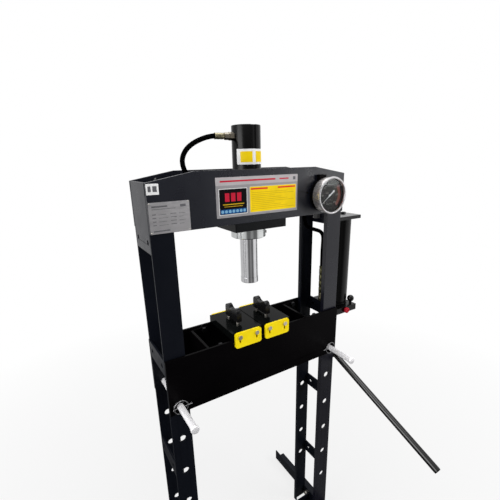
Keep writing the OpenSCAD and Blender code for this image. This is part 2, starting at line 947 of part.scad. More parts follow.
// The lever lies in its own frame: pivot at the origin, handle along -Y
module on_lever() {
    translate([plane_x, pivot_y, pivot_z]) rotate([lever_tilt, 0, 0]) children();
}

module pump_lever() {
    color("#1b1c1e")
        on_lever()
            difference() {
                union() {
                    for (s = [-1, 1])
                        translate([s * (cheek_in + cheek_t / 2) - cheek_t / 2, 0, 0]) {
                            translate([0, -bridge_y - bridge_l, -cheek_h / 2])
                                cube([cheek_t, bridge_y + bridge_l + lever_arm, cheek_h]);
                            translate([0, lever_arm, 0]) rod_x(cheek_h, cheek_t);
                        }
                    translate([-cheek_out, -bridge_y - bridge_l, -cheek_h / 2])
                        cube([2 * cheek_out, bridge_l, cheek_h]);
                    translate([0, -bridge_y - bridge_l - stub_l, 0]) rod_y(stub_d, stub_l);
                }
                translate([-cheek_out - eps, 0, 0])
                    rod_x(lever_pin_d + 2 * fit, 2 * cheek_out + 2 * eps);
                translate([-cheek_out - eps, lever_arm, 0])
                    rod_x(lever_pin_d + 2 * fit, 2 * cheek_out + 2 * eps);
            }
}

module plunger_pin() {
    color("silver")
        on_lever()
            translate([-cheek_out, lever_arm, 0]) rod_x(lever_pin_d, 2 * cheek_out);
}

module pump_handle() {
    color("#101011")
        on_lever()
            translate([0, -bridge_y - bridge_l - handle_l, 0])
                difference() {
                    rod_y(handle_d, handle_l);
                    translate([0, -eps, 0]) rod_y(handle_d - 2 * handle_wall, handle_l + 2 * eps);
                }
}

module handle_plug() {
    lip = 3;
    color("#1a1a1a")
        on_lever()
            translate([0, -bridge_y - bridge_l - handle_l, 0]) {
                rod_y(handle_d - 2 * handle_wall - 2 * fit, plug_l);
                translate([0, -lip, 0]) rod_y(handle_d, lip);
            }
}

module release_knob() {
    color("#b01818")
        translate([side_x + knob_x, -base_y, base_z + base_h / 2]) {
            translate([0, -knob_gap - knob_l, 0]) rod_y(knob_d, knob_l);
            translate([0, -knob_gap - eps, 0]) rod_y(stem_d, stem_in + knob_gap + eps);
        }
}

module ball_knob() {
    color("#111112")
        translate([side_x + ball_x, -base_y + ball_y, base_top]) {
            translate([0, 0, -stem_in]) cylinder(d = stem_d, h = stem_in + ball_up);
            translate([0, 0, ball_up]) sphere(d = ball_d);
        }
}

// Bed
module bed_plate() {
    color("#232527")
        difference() {
            translate([-side_x, 0, bed_z]) cube([frame_w, bed_t, bed_h]);
            for (s = [-1, 1])
                translate([s * pin_x, -eps, pin_z]) rod_y(hole_d, bed_t + 2 * eps);
        }
}

module bed_front_plate() { translate([0, -bed_out_y, 0]) bed_plate(); }
module bed_rear_plate() { translate([0, bed_in_y, 0]) bed_plate(); }

// Cross plates: a web across the bed with a flange on each bed plate
module bed_cross_plates() {
    color("#2c2e31")
        for (x = cross_x)
            difference() {
                translate([x, -bed_in_y, bed_z + spacer_up]) {
                    cube([spacer_t, 2 * bed_in_y, spacer_h]);
                    cube([spacer_flange, spacer_t, spacer_h]);
                    translate([0, 2 * bed_in_y - spacer_t, 0])
                        cube([spacer_flange, spacer_t, spacer_h]);
                }
                for (e = [0, 1])
                    mirror([0, e, 0])
                        translate([x + bed_bolt_x, -bed_in_y - eps, bed_bolt_z])
                            rod_y(bed_bolt_d + 2 * fit, spacer_t + 2 * eps);
            }
}

module bed_bolts() {
    color("silver")
        for (x = cross_x, e = [0, 1])
            mirror([0, e, 0])
                translate([x + bed_bolt_x, -bed_in_y, bed_bolt_z]) {
                    rod_y(bed_bolt_d, spacer_t);
                    translate([0, spacer_t, 0])
                        rotate([-90, 0, 0])
                            cylinder(d = bed_bolt_d * 1.8, h = bed_nut_h, $fn = 6);
                }
}

module bed_pin_right() {
    front = bed_out_y + pin_front;
    bevel = 2;
    clip_y = bed_out_y + clip_gap;
    color("#cfd2d6")
        translate([pin_x, 0, pin_z])
            difference() {
                union() {
                    translate([0, -front, 0]) rod_y(pin_head_d, pin_head_h);
                    translate([0, -front, 0]) rod_y(pin_d, front + bed_out_y + pin_back - bevel);
                    translate([0, bed_out_y + pin_back - bevel, 0]) rotate([-90, 0, 0])
                        cylinder(d1 = pin_d, d2 = pin_d - 2 * bevel, h = bevel);
                }
                translate([-pin_d, -clip_y, 0]) rod_x(clip_wire_d + 2 * fit, 2 * pin_d);
            }
}

module bed_pin_left() { other_side() bed_pin_right(); }

module pin_clips_right() {
    clip_y = bed_out_y + clip_gap;
    ring_r = (clip_d - clip_wire_d) / 2;
    color("silver")
        translate([pin_x, -clip_y, pin_z]) {
            rotate([90, 0, 0]) rotate_extrude() translate([ring_r, 0]) circle(d = clip_wire_d);
            translate([ring_r + clip_wire_d - clip_leg, 0, 0]) rod_x(clip_wire_d, clip_leg);
        }
}

module pin_clips_left() { other_side() pin_clips_right(); }

// Press blocks that lie across the bed
module press_block(x) {
    color("#2a2b2d")
        difference() {
            translate([x - block_w / 2, -block_l / 2, bed_top]) cube([block_w, block_l, block_h]);
            for (s = [-1, 1], e = [-1, 1]) {
                translate([x + s * plate_bolt_x, 0, plate_bolt_z])
                    rotate([e * 90, 0, 0])
                        translate([0, 0, block_l / 2 - plate_bolt_l])
                            cylinder(d = plate_bolt_d + 2 * fit, h = plate_bolt_l + eps);
            }
            for (e = [-1, 1])
                translate([x + bow_shift[0], bow_shift[1] + e * bow_stud_l / 2, block_top - bow_stud_in])
                    cylinder(d = bow_stud_d + 2 * fit, h = bow_stud_in + eps);
        }
}

module press_block_left() { press_block(block_mid[0]); }
module press_block_right() { press_block(block_mid[1]); }

module block_end_plates() {
    hole_d2 = plate_bolt_d + 2 * loose;
    mid_z = block_top - plate_h / 2;
    color("#f2dd12")
        for (x = block_mid, e = [0, 1])
            mirror([0, e, 0])
                translate([x, -block_l / 2, mid_z])
                    rotate([90, 0, 0])
                        linear_extrude(plate_t)
                            difference() {
                                rounded_plate(plate_w, plate_h, plate_r);
                                for (s = [-1, 1])
                                    translate([s * plate_bolt_x, plate_bolt_z - mid_z]) {
                                        circle(d = hole_d2);
                                        translate([-plate_slot_w / 2, -plate_slot_h])
                                            square([plate_slot_w, plate_slot_h]);
                                        translate([0, -plate_slot_h]) circle(d = plate_slot_w);
                                    }
                            }
}

module block_bolts() {
    color("#cfd0d2")
        for (x = block_mid, e = [0, 1], s = [-1, 1])
            mirror([0, e, 0])
                translate([x + s * plate_bolt_x, -block_l / 2 - plate_t, plate_bolt_z]) {
                    rod_y(plate_bolt_d, plate_t + plate_bolt_l - 1);
                    translate([0, -plate_head_h, 0]) rod_y(plate_head_d, plate_head_h);
                }
}

module bow_handles() {
    lobe_r = bow_lobe_d / 2;
    half = bow_l / 2;
    lobe_z = bow_h - lobe_r;
    rise = lobe_r - bow_dip;
    valley_r = (half * half + rise * rise - lobe_r * lobe_r) / (2 * bow_dip);
    share = valley_r / (valley_r + lobe_r);
    neck_z = lobe_z + (1 - share) * (rise + valley_r);
    color("#141415")
        for (x = block_mid)
            translate([x + bow_shift[0] - bow_w / 2, bow_shift[1], block_top])
                difference() {
                    union() {
                        for (e = [-1, 1])
                            translate([0, e * half, lobe_z]) rod_x(bow_lobe_d, bow_w);
                        translate([0, -half - lobe_r, bow_gap])
                            cube([bow_w, bow_l + bow_lobe_d, lobe_z - bow_gap]);
                        translate([0, -half * share, bow_gap])
                            cube([bow_w, bow_l * share, neck_z - bow_gap]);
                    }
                    translate([-eps, 0, lobe_z + rise + valley_r])
                        rod_x(2 * valley_r, bow_w + 2 * eps);
                    for (e = [-1, 1])
                        translate([bow_w / 2, e * bow_stud_l / 2, bow_gap - eps])
                            cylinder(d = bow_stud_d + 2 * fit, h = bow_stud_in + eps);
                }
}

module bow_bolts() {
    short = 1;
    color("#cfd0d2")
        for (x = block_mid, e = [-1, 1])
            translate([x + bow_shift[0], bow_shift[1] + e * bow_stud_l / 2, block_top]) {
                translate([0, 0, short - bow_stud_in])
                    cylinder(d = bow_stud_d, h = 2 * (bow_stud_in - short) + bow_gap);
                cylinder(d = bow_nut_d, h = bow_gap, $fn = 6);
            }
}

post_left_front();
post_left_rear();
post_right_front();
post_right_rear();
ties_left();
ties_right();
foot_left();
foot_right();
base_cross();
foot_bolts();
head_front_plate();
head_rear_plate();
head_end_plate_left();
head_end_plate_right();
head_seat();
ram_barrel();
lock_collar();
set_screw();
ram_rod();
ram_nose();
gauge_flange();
gauge_case();
gauge_bezel();
gauge_window();
gauge_dial();
gauge_needle();
gauge_pipe();
hose();
hose_ferrule_pump();
hose_ferrule_ram();
ram_port();
pump_outlet();
pump_shelf();
shelf_screw();
pump_tank();
pump_base();
pump_barrel();
pump_plunger();
lever_hanger();
lever_pivot_pin();
pump_lever();
plunger_pin();
pump_handle();
handle_plug();
release_knob();
ball_knob();
bed_front_plate();
bed_rear_plate();
bed_cross_plates();
bed_bolts();
bed_pin_left();
bed_pin_right();
pin_clips_left();
pin_clips_right();
press_block_left();
press_block_right();
block_end_plates();
block_bolts();
bow_handles();
bow_bolts();
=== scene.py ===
"""Looks of a two-post workshop press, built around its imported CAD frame."""

import json
import math
import random

import bmesh
import bpy
from mathutils import Matrix, Vector


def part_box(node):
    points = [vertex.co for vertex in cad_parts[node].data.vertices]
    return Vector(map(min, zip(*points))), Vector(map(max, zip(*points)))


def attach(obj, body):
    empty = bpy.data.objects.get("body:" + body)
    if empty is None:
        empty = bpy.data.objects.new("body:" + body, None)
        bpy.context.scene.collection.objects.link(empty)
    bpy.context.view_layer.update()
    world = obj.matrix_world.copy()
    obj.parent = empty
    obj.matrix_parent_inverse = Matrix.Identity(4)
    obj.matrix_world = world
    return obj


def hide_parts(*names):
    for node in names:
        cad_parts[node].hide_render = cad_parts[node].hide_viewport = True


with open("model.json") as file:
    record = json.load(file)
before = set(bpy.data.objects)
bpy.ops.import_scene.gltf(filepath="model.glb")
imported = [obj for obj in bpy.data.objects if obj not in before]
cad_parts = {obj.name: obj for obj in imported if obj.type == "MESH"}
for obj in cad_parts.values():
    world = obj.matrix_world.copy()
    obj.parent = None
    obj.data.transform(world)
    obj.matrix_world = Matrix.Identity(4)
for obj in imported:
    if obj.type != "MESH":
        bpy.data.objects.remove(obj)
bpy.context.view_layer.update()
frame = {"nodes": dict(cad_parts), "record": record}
NODES = frame["nodes"]

# ---- camera
# Place in metres, turns in radians, sensor and lens in millimetres
CAM_POS = (-0.5245, -0.8733, 1.5198)
CAM_YAW = 0.55023
CAM_PITCH = 0.29927
CAM_ROLL = -0.02273
SENSOR = 36.0
LENS = 24.52968
SHIFT_X = -0.004714
SHIFT_Y = 0.032598
FAR_CLIP = 60


def add_object(name, data):
    obj = bpy.data.objects.new(name, data)
    bpy.context.collection.objects.link(obj)
    return obj


def make_camera():
    """Camera at the photo's viewpoint, looking along its yaw and pitch."""
    level = math.cos(CAM_PITCH)
    forward = Vector((math.sin(CAM_YAW) * level, math.cos(CAM_YAW) * level, -math.sin(CAM_PITCH)))
    right = Vector((math.cos(CAM_YAW), -math.sin(CAM_YAW), 0.0))
    up = right.cross(forward)
    c, s = math.cos(CAM_ROLL), math.sin(CAM_ROLL)
    right, up = c * right + s * up, c * up - s * right
    data = bpy.data.cameras.new("camera")
    data.sensor_width = SENSOR
    data.lens = LENS
    data.shift_x = SHIFT_X
    data.shift_y = SHIFT_Y
    data.clip_end = FAR_CLIP
    cam = add_object("camera", data)
    rows = [(right[k], up[k], -forward[k], CAM_POS[k]) for k in range(3)]
    cam.matrix_world = Matrix((*rows, (0, 0, 0, 1)))
    bpy.context.scene.camera = cam


make_camera()


# ---- materials
# Middle part of a noise texture's range, which the ramps spread out
NOISE_LOW, NOISE_HIGH = 0.3, 0.7
# Lighter tone that settled dust gives to paint
DUST = 0.0005


def set_inputs(node, values):
    for name, value in values.items():
        node.inputs[name].default_value = value


def new_material(name):
    mat = bpy.data.materials.new(name)
    mat.use_nodes = True
    tree = mat.node_tree
    bsdf = tree.nodes["Principled BSDF"]
    return mat, tree, bsdf


def object_coords(tree):
    return tree.nodes.new("ShaderNodeTexCoord").outputs["Object"]


def noise(tree, vector, scale, detail, stretch=None):
    if stretch:
        mapping = tree.nodes.new("ShaderNodeMapping")
        set_inputs(mapping, {"Scale": stretch})
        tree.links.new(vector, mapping.inputs["Vector"])
        vector = mapping.outputs["Vector"]
    node = tree.nodes.new("ShaderNodeTexNoise")
    set_inputs(node, {"Scale": scale, "Detail": detail})
    tree.links.new(vector, node.inputs["Vector"])
    return node.outputs["Fac"]


def ramp(tree, value, low, high, a, b):
    """Runs from a to b while the value runs from low to high, and stays there outside."""
    node = tree.nodes.new("ShaderNodeMapRange")
    set_inputs(node, {"From Min": low, "From Max": high, "To Min": a, "To Max": b})
    tree.links.new(value, node.inputs["Value"])
    return node.outputs["Result"]


def spread(tree, value, a=0, b=1):
    """Spreads the middle of a noise from a to b."""
    return ramp(tree, value, NOISE_LOW, NOISE_HIGH, a, b)


def mix_colour(tree, factor, a, b):
    node = tree.nodes.new("ShaderNodeMix")
    node.data_type = "RGBA"
    set_inputs(node, {"A": (*a, 1), "B": (*b, 1)})
    tree.links.new(factor, node.inputs["Factor"])
    return node.outputs["Result"]


def bump(tree, bsdf, heights):
    """heights: (value socket, strength, distance) from coarse to fine."""
    last = None
    for value, strength, distance in heights:
        node = tree.nodes.new("ShaderNodeBump")
        set_inputs(node, {"Strength": strength, "Distance": distance})
        tree.links.new(value, node.inputs["Height"])
        if last:
            tree.links.new(last, node.inputs["Normal"])
        last = node.outputs["Normal"]
    tree.links.new(last, bsdf.inputs["Normal"])


def paint(name, colour, rough, peel, specular):
    """Sprayed paint: orange peel, slight tone drift, a trace of dust."""
    mat, tree, bsdf = new_material(name)
    xyz = object_coords(tree)
    drift = noise(tree, xyz, 6, 3)
    dark = tuple(c * 0.86 for c in colour)
    light = tuple(min(1, c * 1.12 + DUST) for c in colour)
    tree.links.new(mix_colour(tree, spread(tree, drift), dark, light), bsdf.inputs["Base Color"])
    smear = noise(tree, xyz, 24, 5)
    roughness = ramp(tree, smear, 0.25, 0.75, rough * 0.85, min(1, rough * 1.15))
    tree.links.new(roughness, bsdf.inputs["Roughness"])
    set_inputs(bsdf, {"Specular IOR Level": specular})
    coarse = (noise(tree, xyz, 90, 2), peel * 0.5, 0.0006)
    fine = (noise(tree, xyz, 700, 2), peel, 0.00025)
    bump(tree, bsdf, [coarse, fine])
    return mat


def metal(name, colour, rough, stretch=(1, 1, 1), grain=0.10, scale=600, metallic=1.0):
    """Bare or plated metal with fine drawn grain and stains in the gloss."""
    mat, tree, bsdf = new_material(name)
    xyz = object_coords(tree)
    lines = noise(tree, xyz, scale, 2, stretch)
    cloud = noise(tree, xyz, 35, 4)
    dark = tuple(c * 0.90 for c in colour)
    tree.links.new(mix_colour(tree, spread(tree, cloud), dark, colour), bsdf.inputs["Base Color"])
    tree.links.new(spread(tree, lines, rough * 0.8, rough * 1.25), bsdf.inputs["Roughness"])
    set_inputs(bsdf, {"Metallic": metallic})
    bump(tree, bsdf, [(lines, grain, 0.0001)])
    return mat


def plastic(name, colour, rough, specular=0.5, grain=0.15, scale=1500):
    """Moulded plastic, rubber, print or label film with faint mottling."""
    mat, tree, bsdf = new_material(name)
    xyz = object_coords(tree)
    dark = tuple(c * 0.88 for c in colour)
    cloud = spread(tree, noise(tree, xyz, 30, 3))
    tree.links.new(mix_colour(tree, cloud, dark, colour), bsdf.inputs["Base Color"])
    roughness = spread(tree, noise(tree, xyz, 60, 3), rough * 0.85, rough * 1.15)
    tree.links.new(roughness, bsdf.inputs["Roughness"])
    set_inputs(bsdf, {"Specular IOR Level": specular})
    bump(tree, bsdf, [(noise(tree, xyz, scale, 1), grain, 0.0001)])
    return mat


def glass(name):
    """Gauge window; a low index keeps its reflections weak."""
    mat, tree, bsdf = new_material(name)
    xyz = object_coords(tree)
    set_inputs(bsdf, {"Base Color": (0.97, 0.98, 0.98, 1), "Transmission Weight": 1.0, "IOR": 1.15})
    tree.links.new(spread(tree, noise(tree, xyz, 40, 3), 0.0, 0.02), bsdf.inputs["Roughness"])
    return mat


# Paint: name, colour, roughness, orange peel, specular level
# Metal: name, colour, roughness, grain direction, grain depth, grain scale, metallic level
# Plastic: name, colour, roughness, specular level, grain depth, grain scale
LOOKS = (
    (paint, "black_paint", (0.0040, 0.0050, 0.0084), 0.38, 0.14, 0.12),
    # Painted light: the next three are lit and shaded copies of one frame paint, their colour and gloss set
    # per face for how the light falls on the head's front, its end plates and the right front post
    (paint, "head_paint", (0.0060, 0.0070, 0.0126), 0.29, 0.05, 0.62),
    (paint, "end_paint", (0.0052, 0.0058, 0.0112), 0.29, 0.05, 0.28),
    (paint, "post_paint", (0.0050, 0.0050, 0.0100), 0.29, 0.05, 0.50),
    (paint, "bed_paint", (0.0013, 0.0010, 0.0013), 0.30, 0.12, 0.03),
    (paint, "seat_paint", (0.0052, 0.0057, 0.0064), 0.30, 0.10, 0.14),
    (paint, "shelf_paint", (0.0040, 0.0042, 0.0046), 0.16, 0.06, 0.5),
    (paint, "gloss_black", (0.0006, 0.0005, 0.0006), 0.24, 0.06, 0.22),
    (paint, "block_black", (0.0022, 0.0027, 0.0026), 0.16, 0.04, 0.05),
    (paint, "handle_black", (0.0018, 0.0018, 0.0020), 0.09, 0.02, 0.45),
    (paint, "yellow_paint", (1.0, 0.71, 0.003), 0.34, 0.10, 0.14),
    (metal, "chrome", (0.80, 0.80, 0.82), 0.10, (1, 1, 0.06), 0.0),
    (metal, "collar_steel", (0.84, 0.86, 0.86), 0.09, (1, 1, 0.06), 0.0),
    # Painted sheen on real bright steel: the bed pins are mostly a near-white plain colour, which stands in
    # for the reflection of their bare steel
    (metal, "pin_steel", (0.98, 0.97, 0.99), 0.30, (1, 0.05, 1), 0.0, 600, 0.3),
    (metal, "wire_steel", (0.42, 0.42, 0.43), 0.34),
    (metal, "bolt_steel", (0.84, 0.80, 0.72), 0.30),
    (metal, "nut_steel", (0.27, 0.24, 0.19), 0.24, (1, 1, 1), 0.03),
    (metal, "dark_steel", (0.030, 0.030, 0.032), 0.40),
    (metal, "case_steel", (0.84, 0.80, 0.78), 0.28, (1, 0.05, 1), 0.02, 600, 0.93),
    (metal, "bezel_steel", (0.86, 0.84, 0.85), 0.30, (1, 1, 1), 0.01),
    (metal, "yellow_zinc", (0.25, 0.225, 0.145), 0.34, (1, 1, 1), 0.03),
    (metal, "ferrule_dark", (0.10, 0.095, 0.05), 0.36),
    (plastic, "dial_black", (0.012, 0.011, 0.010), 0.60, 0.2),
    (plastic, "dial_print", (0.24, 0.24, 0.22), 0.55, 0.2),
    (plastic, "dial_amber", (0.14, 0.08, 0.02), 0.55, 0.2),
    (metal, "stud_steel", (0.10, 0.10, 0.10), 0.45),
    (plastic, "dial_red", (0.30, 0.075, 0.060), 0.55, 0.2),
    (plastic, "needle_white", (0.88, 0.88, 0.88), 0.45),
    (plastic, "hose_rubber", (0.0006, 0.0006, 0.0008), 0.70, 0.01, 0.25, 900),
    (plastic, "black_plastic", (0.0045, 0.0045, 0.0050), 0.24, 0.30),
    (plastic, "red_plastic", (0.38, 0.008, 0.020), 0.34, 0.2),
    (plastic, "label_white", (0.86, 0.86, 0.86), 0.42, 0.3, 0.05),
    (plastic, "label_grey", (0.30, 0.29, 0.30), 0.45, 0.3, 0.05),
    (plastic, "label_pale", (0.46, 0.43, 0.44), 0.45, 0.3, 0.05),
    (plastic, "label_black", (0.004, 0.003, 0.004), 0.38, 0.08, 0.05),
    (plastic, "label_red", (0.52, 0.015, 0.040), 0.45, 0.10, 0.05),
    (plastic, "label_orange", (0.72, 0.05, 0.02), 0.45, 0.1, 0.05),
    (plastic, "label_yellow", (0.93, 0.66, 0.005), 0.42, 0.14, 0.05),
    (plastic, "label_ochre", (0.58, 0.36, 0.01), 0.45, 0.1, 0.05),
    (plastic, "label_blue", (0.010, 0.09, 0.28), 0.40, 0.08, 0.05),
    (plastic, "label_dots", (0.20, 0.42, 0.62), 0.40, 0.1, 0.05),
    (metal, "label_metal", (0.84, 0.82, 0.84), 0.42, (0.05, 1, 1), 0.04, 900),
    # Painted shade for the slot floors below the yellow end plates' bolts
    (plastic, "slot_shade", (0.010, 0.005, 0.003), 0.7, 0.02),
    (plastic, "label_ink", (0.12, 0.12, 0.13), 0.45, 0.3, 0.05),
    (glass, "window"),
)
MATS = {name: make(name, *values) for make, name, *values in LOOKS}

# ---- CAD nodes
SLOT_OF = {row["node"]: row["material_slot"] for row in frame["record"]["subparts"]}
# Nodes whose look differs from the plain look of their slot in the record
LOOK_OF = {
    "press_block_left": "block_black",
    "press_block_right": "block_black",
    # Painted light: lit and shaded copies of the frame paint on the head's front, its end plates and the
    # right front post
    "head_front_plate": "head_paint",
    "head_rear_plate": "head_paint",
    "head_end_plate_left": "end_paint",
    "head_end_plate_right": "end_paint",
    "post_right_front": "post_paint",
    "bed_front_plate": "bed_paint",
    "bed_rear_plate": "bed_paint",
    "bed_cross_plates": "bed_paint",
    "head_seat": "seat_paint",
    "pump_shelf": "shelf_paint",
    "bed_bolts": "dark_steel",
    "shelf_screw": "stud_steel",
    "lever_hanger": "bed_paint",
    "gauge_flange": "bed_paint",
    "gauge_pipe": "gloss_black",
    "pump_outlet": "yellow_zinc",
    "ram_port": "nut_steel",
}
# Width of the rounded edges in metres
EDGE = {
    "default": 0.0008,
    "pump_base": 0.002,
    "pump_shelf": 0.002,
    "head_seat": 0.002,
    "press_block_left": 0.0015,
    "press_block_right": 0.0015,
    "block_end_plates": 0.0012,
    "bow_handles": 0.0025,
}
EDGE_ANGLE = math.radians(38)
WELD_GAP = 0.00001


def round_edges(obj, width, angle):
    bevel = obj.modifiers.new("edges", "BEVEL")
    bevel.width = width
    bevel.segments = 2
    bevel.limit_method = "ANGLE"
    bevel.angle_limit = angle


def dress_node(name, obj):
    """Gives a CAD solid its look and softly rounded edges."""
    look = MATS[LOOK_OF.get(name, SLOT_OF[name])]
    for place in obj.material_slots:
        place.material = look
    if not obj.material_slots:
        obj.data.materials.append(look)
    weld = obj.modifiers.new("weld", "WELD")
    weld.merge_threshold = WELD_GAP
    round_edges(obj, EDGE.get(name, EDGE["default"]), EDGE_ANGLE)


for node_name, node_obj in NODES.items():
    if node_name != "hose":
        dress_node(node_name, node_obj)

# ---- mesh helpers
MM = 0.001
UP = Matrix.Identity(4)
FRONT = Matrix(((1, 0, 0, 0), (0, 0, -1, 0), (0, 1, 0, 0), (0, 0, 0, 1)))  # local Z to -Y
LEFT = Matrix(((0, 0, -1, 0), (0, 1, 0, 0), (1, 0, 0, 0), (0, 0, 0, 1)))  # local Z to -X
SMOOTH_ANGLE = math.radians(32)


def span(node):
    """Lowest and highest corner of a CAD node, in millimetres."""
    lo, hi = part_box(node)
    return Vector(lo) / MM, Vector(hi) / MM


def centre(node):
    lo, hi = span(node)
    return (lo + hi) / 2


def at(x, y, z, turn=UP):
    return Matrix.Translation((x, y, z)) @ turn


def piece(name, bm, look, body="frame", instead=(), smooth=True, edge=0.0):
    """Makes an object of a mesh drawn in millimetres."""
    bmesh.ops.recalc_face_normals(bm, faces=bm.faces)
    bmesh.ops.transform(bm, matrix=Matrix.Scale(MM, 4), verts=bm.verts)
    mesh = bpy.data.meshes.new(name)
    bm.to_mesh(mesh)
    bm.free()
    if smooth:
        mesh.polygons.foreach_set("use_smooth", [True] * len(mesh.polygons))
        mesh.set_sharp_from_angle(angle=SMOOTH_ANGLE)
    obj = add_object(name, mesh)
    mesh.materials.append(MATS[look])
    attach(obj, body)
    if instead:
        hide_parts(*instead)
    if edge:
        round_edges(obj, edge * MM, SMOOTH_ANGLE)


def add_lathe(bm, profile, place, segments=64, radius=None):
    """profile: (radius, height) pairs about the place's Z; radius(r, angle, height) may reshape it."""
    rings = []
    for r, h in profile:
        if r < 1e-6:
            rings.append([bm.verts.new(place @ Vector((0, 0, h)))])
            continue
        ring = []
        for k in range(segments):
            a = 2 * math.pi * k / segments
            s = radius(r, a, h) if radius else r
            ring.append(bm.verts.new(place @ Vector((s * math.cos(a), s * math.sin(a), h))))
        rings.append(ring)
    for a, b in zip(rings, rings[1:]):
        for k in range(segments):
            j = (k + 1) % segments
            if len(a) == 1 and len(b) > 1:
                bm.faces.new((a[0], b[k], b[j]))
            elif len(b) == 1 and len(a) > 1:
                bm.faces.new((a[k], b[0], a[j]))
            elif len(a) > 1:
                bm.faces.new((a[k], b[k], b[j], a[j]))


def lathe(name, profile, place, look, body="frame", instead=(), segments=64, radius=None):
    bm = bmesh.new()
    add_lathe(bm, profile, place, segments, radius)
    piece(name, bm, look, body, instead)


def add_ring(bm, place, inner, outer, low, high, bevel, segments):
    """Round ring with bevelled edges, about the place's Z."""
    add_lathe(
        bm,
        [
            (inner, low), (outer - bevel, low), (outer, low + bevel), (outer, high - bevel),
            (outer - bevel, high), (inner + bevel, high), (inner, high - bevel), (inner, low),
        ],
        place,
        segments,
    )


def add_hex(bm, place, across, low, high, bevel=0.8):
    """Six-sided nut or head; across is its width over the corners."""
    r = across / 2
    rise = bevel * 0.6
    add_lathe(
        bm,
        [(0, low), (r - bevel, low), (r, low + rise), (r, high - rise), (r - bevel, high), (0, high)],
        place,
        6,
    )


def add_tube(bm, points, radius, sides):
    """Round tube along points; radius is a number or a function of the point's index."""
    last = len(points) - 1
    size = radius if callable(radius) else lambda i: radius
    across = None
    rings = []
    for i, p in enumerate(points):
        along = (points[min(i + 1, last)] - points[max(i - 1, 0)]).normalized()
        if across is None:
            across = along.orthogonal().normalized()
        across = (across - along * across.dot(along)).normalized()
        side = along.cross(across)
        ring = []
        for k in range(sides):
            a = 2 * math.pi * k / sides
            ring.append(bm.verts.new(p + size(i) * (math.cos(a) * across + math.sin(a) * side)))
        rings.append(ring)
    for a, b in zip(rings, rings[1:]):
        for k in range(sides):
            j = (k + 1) % sides
            bm.faces.new((a[k], b[k], b[j], a[j]))
    bm.faces.new(rings[0])
    bm.faces.new(list(reversed(rings[-1])))


def add_card(bm, place, x0, x1, y0, y1, low, high, corner, steps=4):
    """Thin plate with round corners, in the place's XY plane."""
    outline = []
    for cx, cy, turn in (
        (x1 - corner, y1 - corner, 0), (x0 + corner, y1 - corner, 1),
        (x0 + corner, y0 + corner, 2), (x1 - corner, y0 + corner, 3),
    ):
        for k in range(steps + 1):
            a = math.pi / 2 * (turn + k / steps)
            outline.append((cx + corner * math.cos(a), cy + corner * math.sin(a)))
    add_prism(bm, place, outline, low, high)


def add_prism(bm, place, outline, low, high):
    """Solid between two heights, over an outline in the place's XY plane."""
    bottom = [bm.verts.new(place @ Vector((x, y, low))) for x, y in outline]
    top = [bm.verts.new(place @ Vector((x, y, high))) for x, y in outline]
    bm.faces.new(list(reversed(bottom)))
    bm.faces.new(top)
    for k in range(len(outline)):
        j = (k + 1) % len(outline)
        bm.faces.new((bottom[k], bottom[j], top[j], top[k]))


def add_arc_band(bm, place, inner, outer, start, end, low, high, steps):
    """Solid ring sector between two radii, two angles and two heights."""
    outline = [(outer, start + (end - start) * k / steps) for k in range(steps + 1)]
    outline += [(inner, end + (start - end) * k / steps) for k in range(steps + 1)]
    add_prism(bm, place, [(r * math.cos(a), r * math.sin(a)) for r, a in outline], low, high)


BEAD_PITCH = 1.1
BEAD_SIDES = 8
BEAD_FEWEST = 8


def weld_bead(name, ends, r):
    """Rippled weld bead, half sunk in the joint, along each pair of ends."""
    rng = random.Random(len(name) * 7 + len(ends))
    bm = bmesh.new()
    for start, end in ends:
        start, end = Vector(start), Vector(end)
        count = max(BEAD_FEWEST, round((end - start).length / BEAD_PITCH))
        scale = [0.86 + 0.14 * math.sin(k * 1.45) + rng.uniform(-0.05, 0.05) for k in range(count + 1)]
        scale[0] = scale[-1] = 0.25
        points = [start.lerp(end, k / count) for k in range(count + 1)]
        add_tube(bm, points, lambda i, s=scale: r * s[i], BEAD_SIDES)
    piece(name, bm, "bed_paint")


# ---- hose
HOSE_D = 13.0 * MM
HOSE_STEP = 6.0 * MM
# Centre line in millimetres, from the pump's sleeve to the ram's
HOSE_ROUTE = [
    (306, 0, 1151), (306, 0, 1155), (306, 0, 1180), (306, 0, 1210), (307, 0, 1238),
    (307, 0, 1256), (302, 0, 1271), (291, 0, 1281), (276, 0, 1287), (258, 0, 1293),
    (241, 0, 1300), (228, 1, 1311), (222, 2, 1328), (218, 5, 1350), (208, 12, 1376),
    (190, 26, 1398), (164, 40, 1413), (128, 51, 1423), (86, 56, 1429), (40, 57, 1433),
    (-5, 57, 1436), (-50, 57, 1439), (-92, 54, 1443), (-128, 45, 1450), (-155, 30, 1461),
    (-173, 13, 1477), (-185, 3, 1495), (-192, 0, 1512), (-192, 0, 1530), (-183, 0, 1548),
    (-168, 0, 1562), (-148, 0, 1573), (-126, 0, 1581), (-108, 0, 1585), (-98.3, 0, 1586),
]


def smooth_path(points, step):
    """Catmull-Rom through the points, at about the given step."""
    out = []
    last = len(points) - 1
    for i in range(last):
        p0, p1, p2, p3 = (points[min(max(k, 0), last)] for k in (i - 1, i, i + 1, i + 2))
        n = max(1, round((p2 - p1).length / step))
        for k in range(n):
            t = k / n
            out.append(
                0.5
                * (
                    2 * p1
                    + (p2 - p0) * t
                    + (2 * p0 - 5 * p1 + 4 * p2 - p3) * t * t
                    + (3 * p1 - p0 - 3 * p2 + p3) * t * t * t
                )
            )
    out.append(points[-1])
    return out


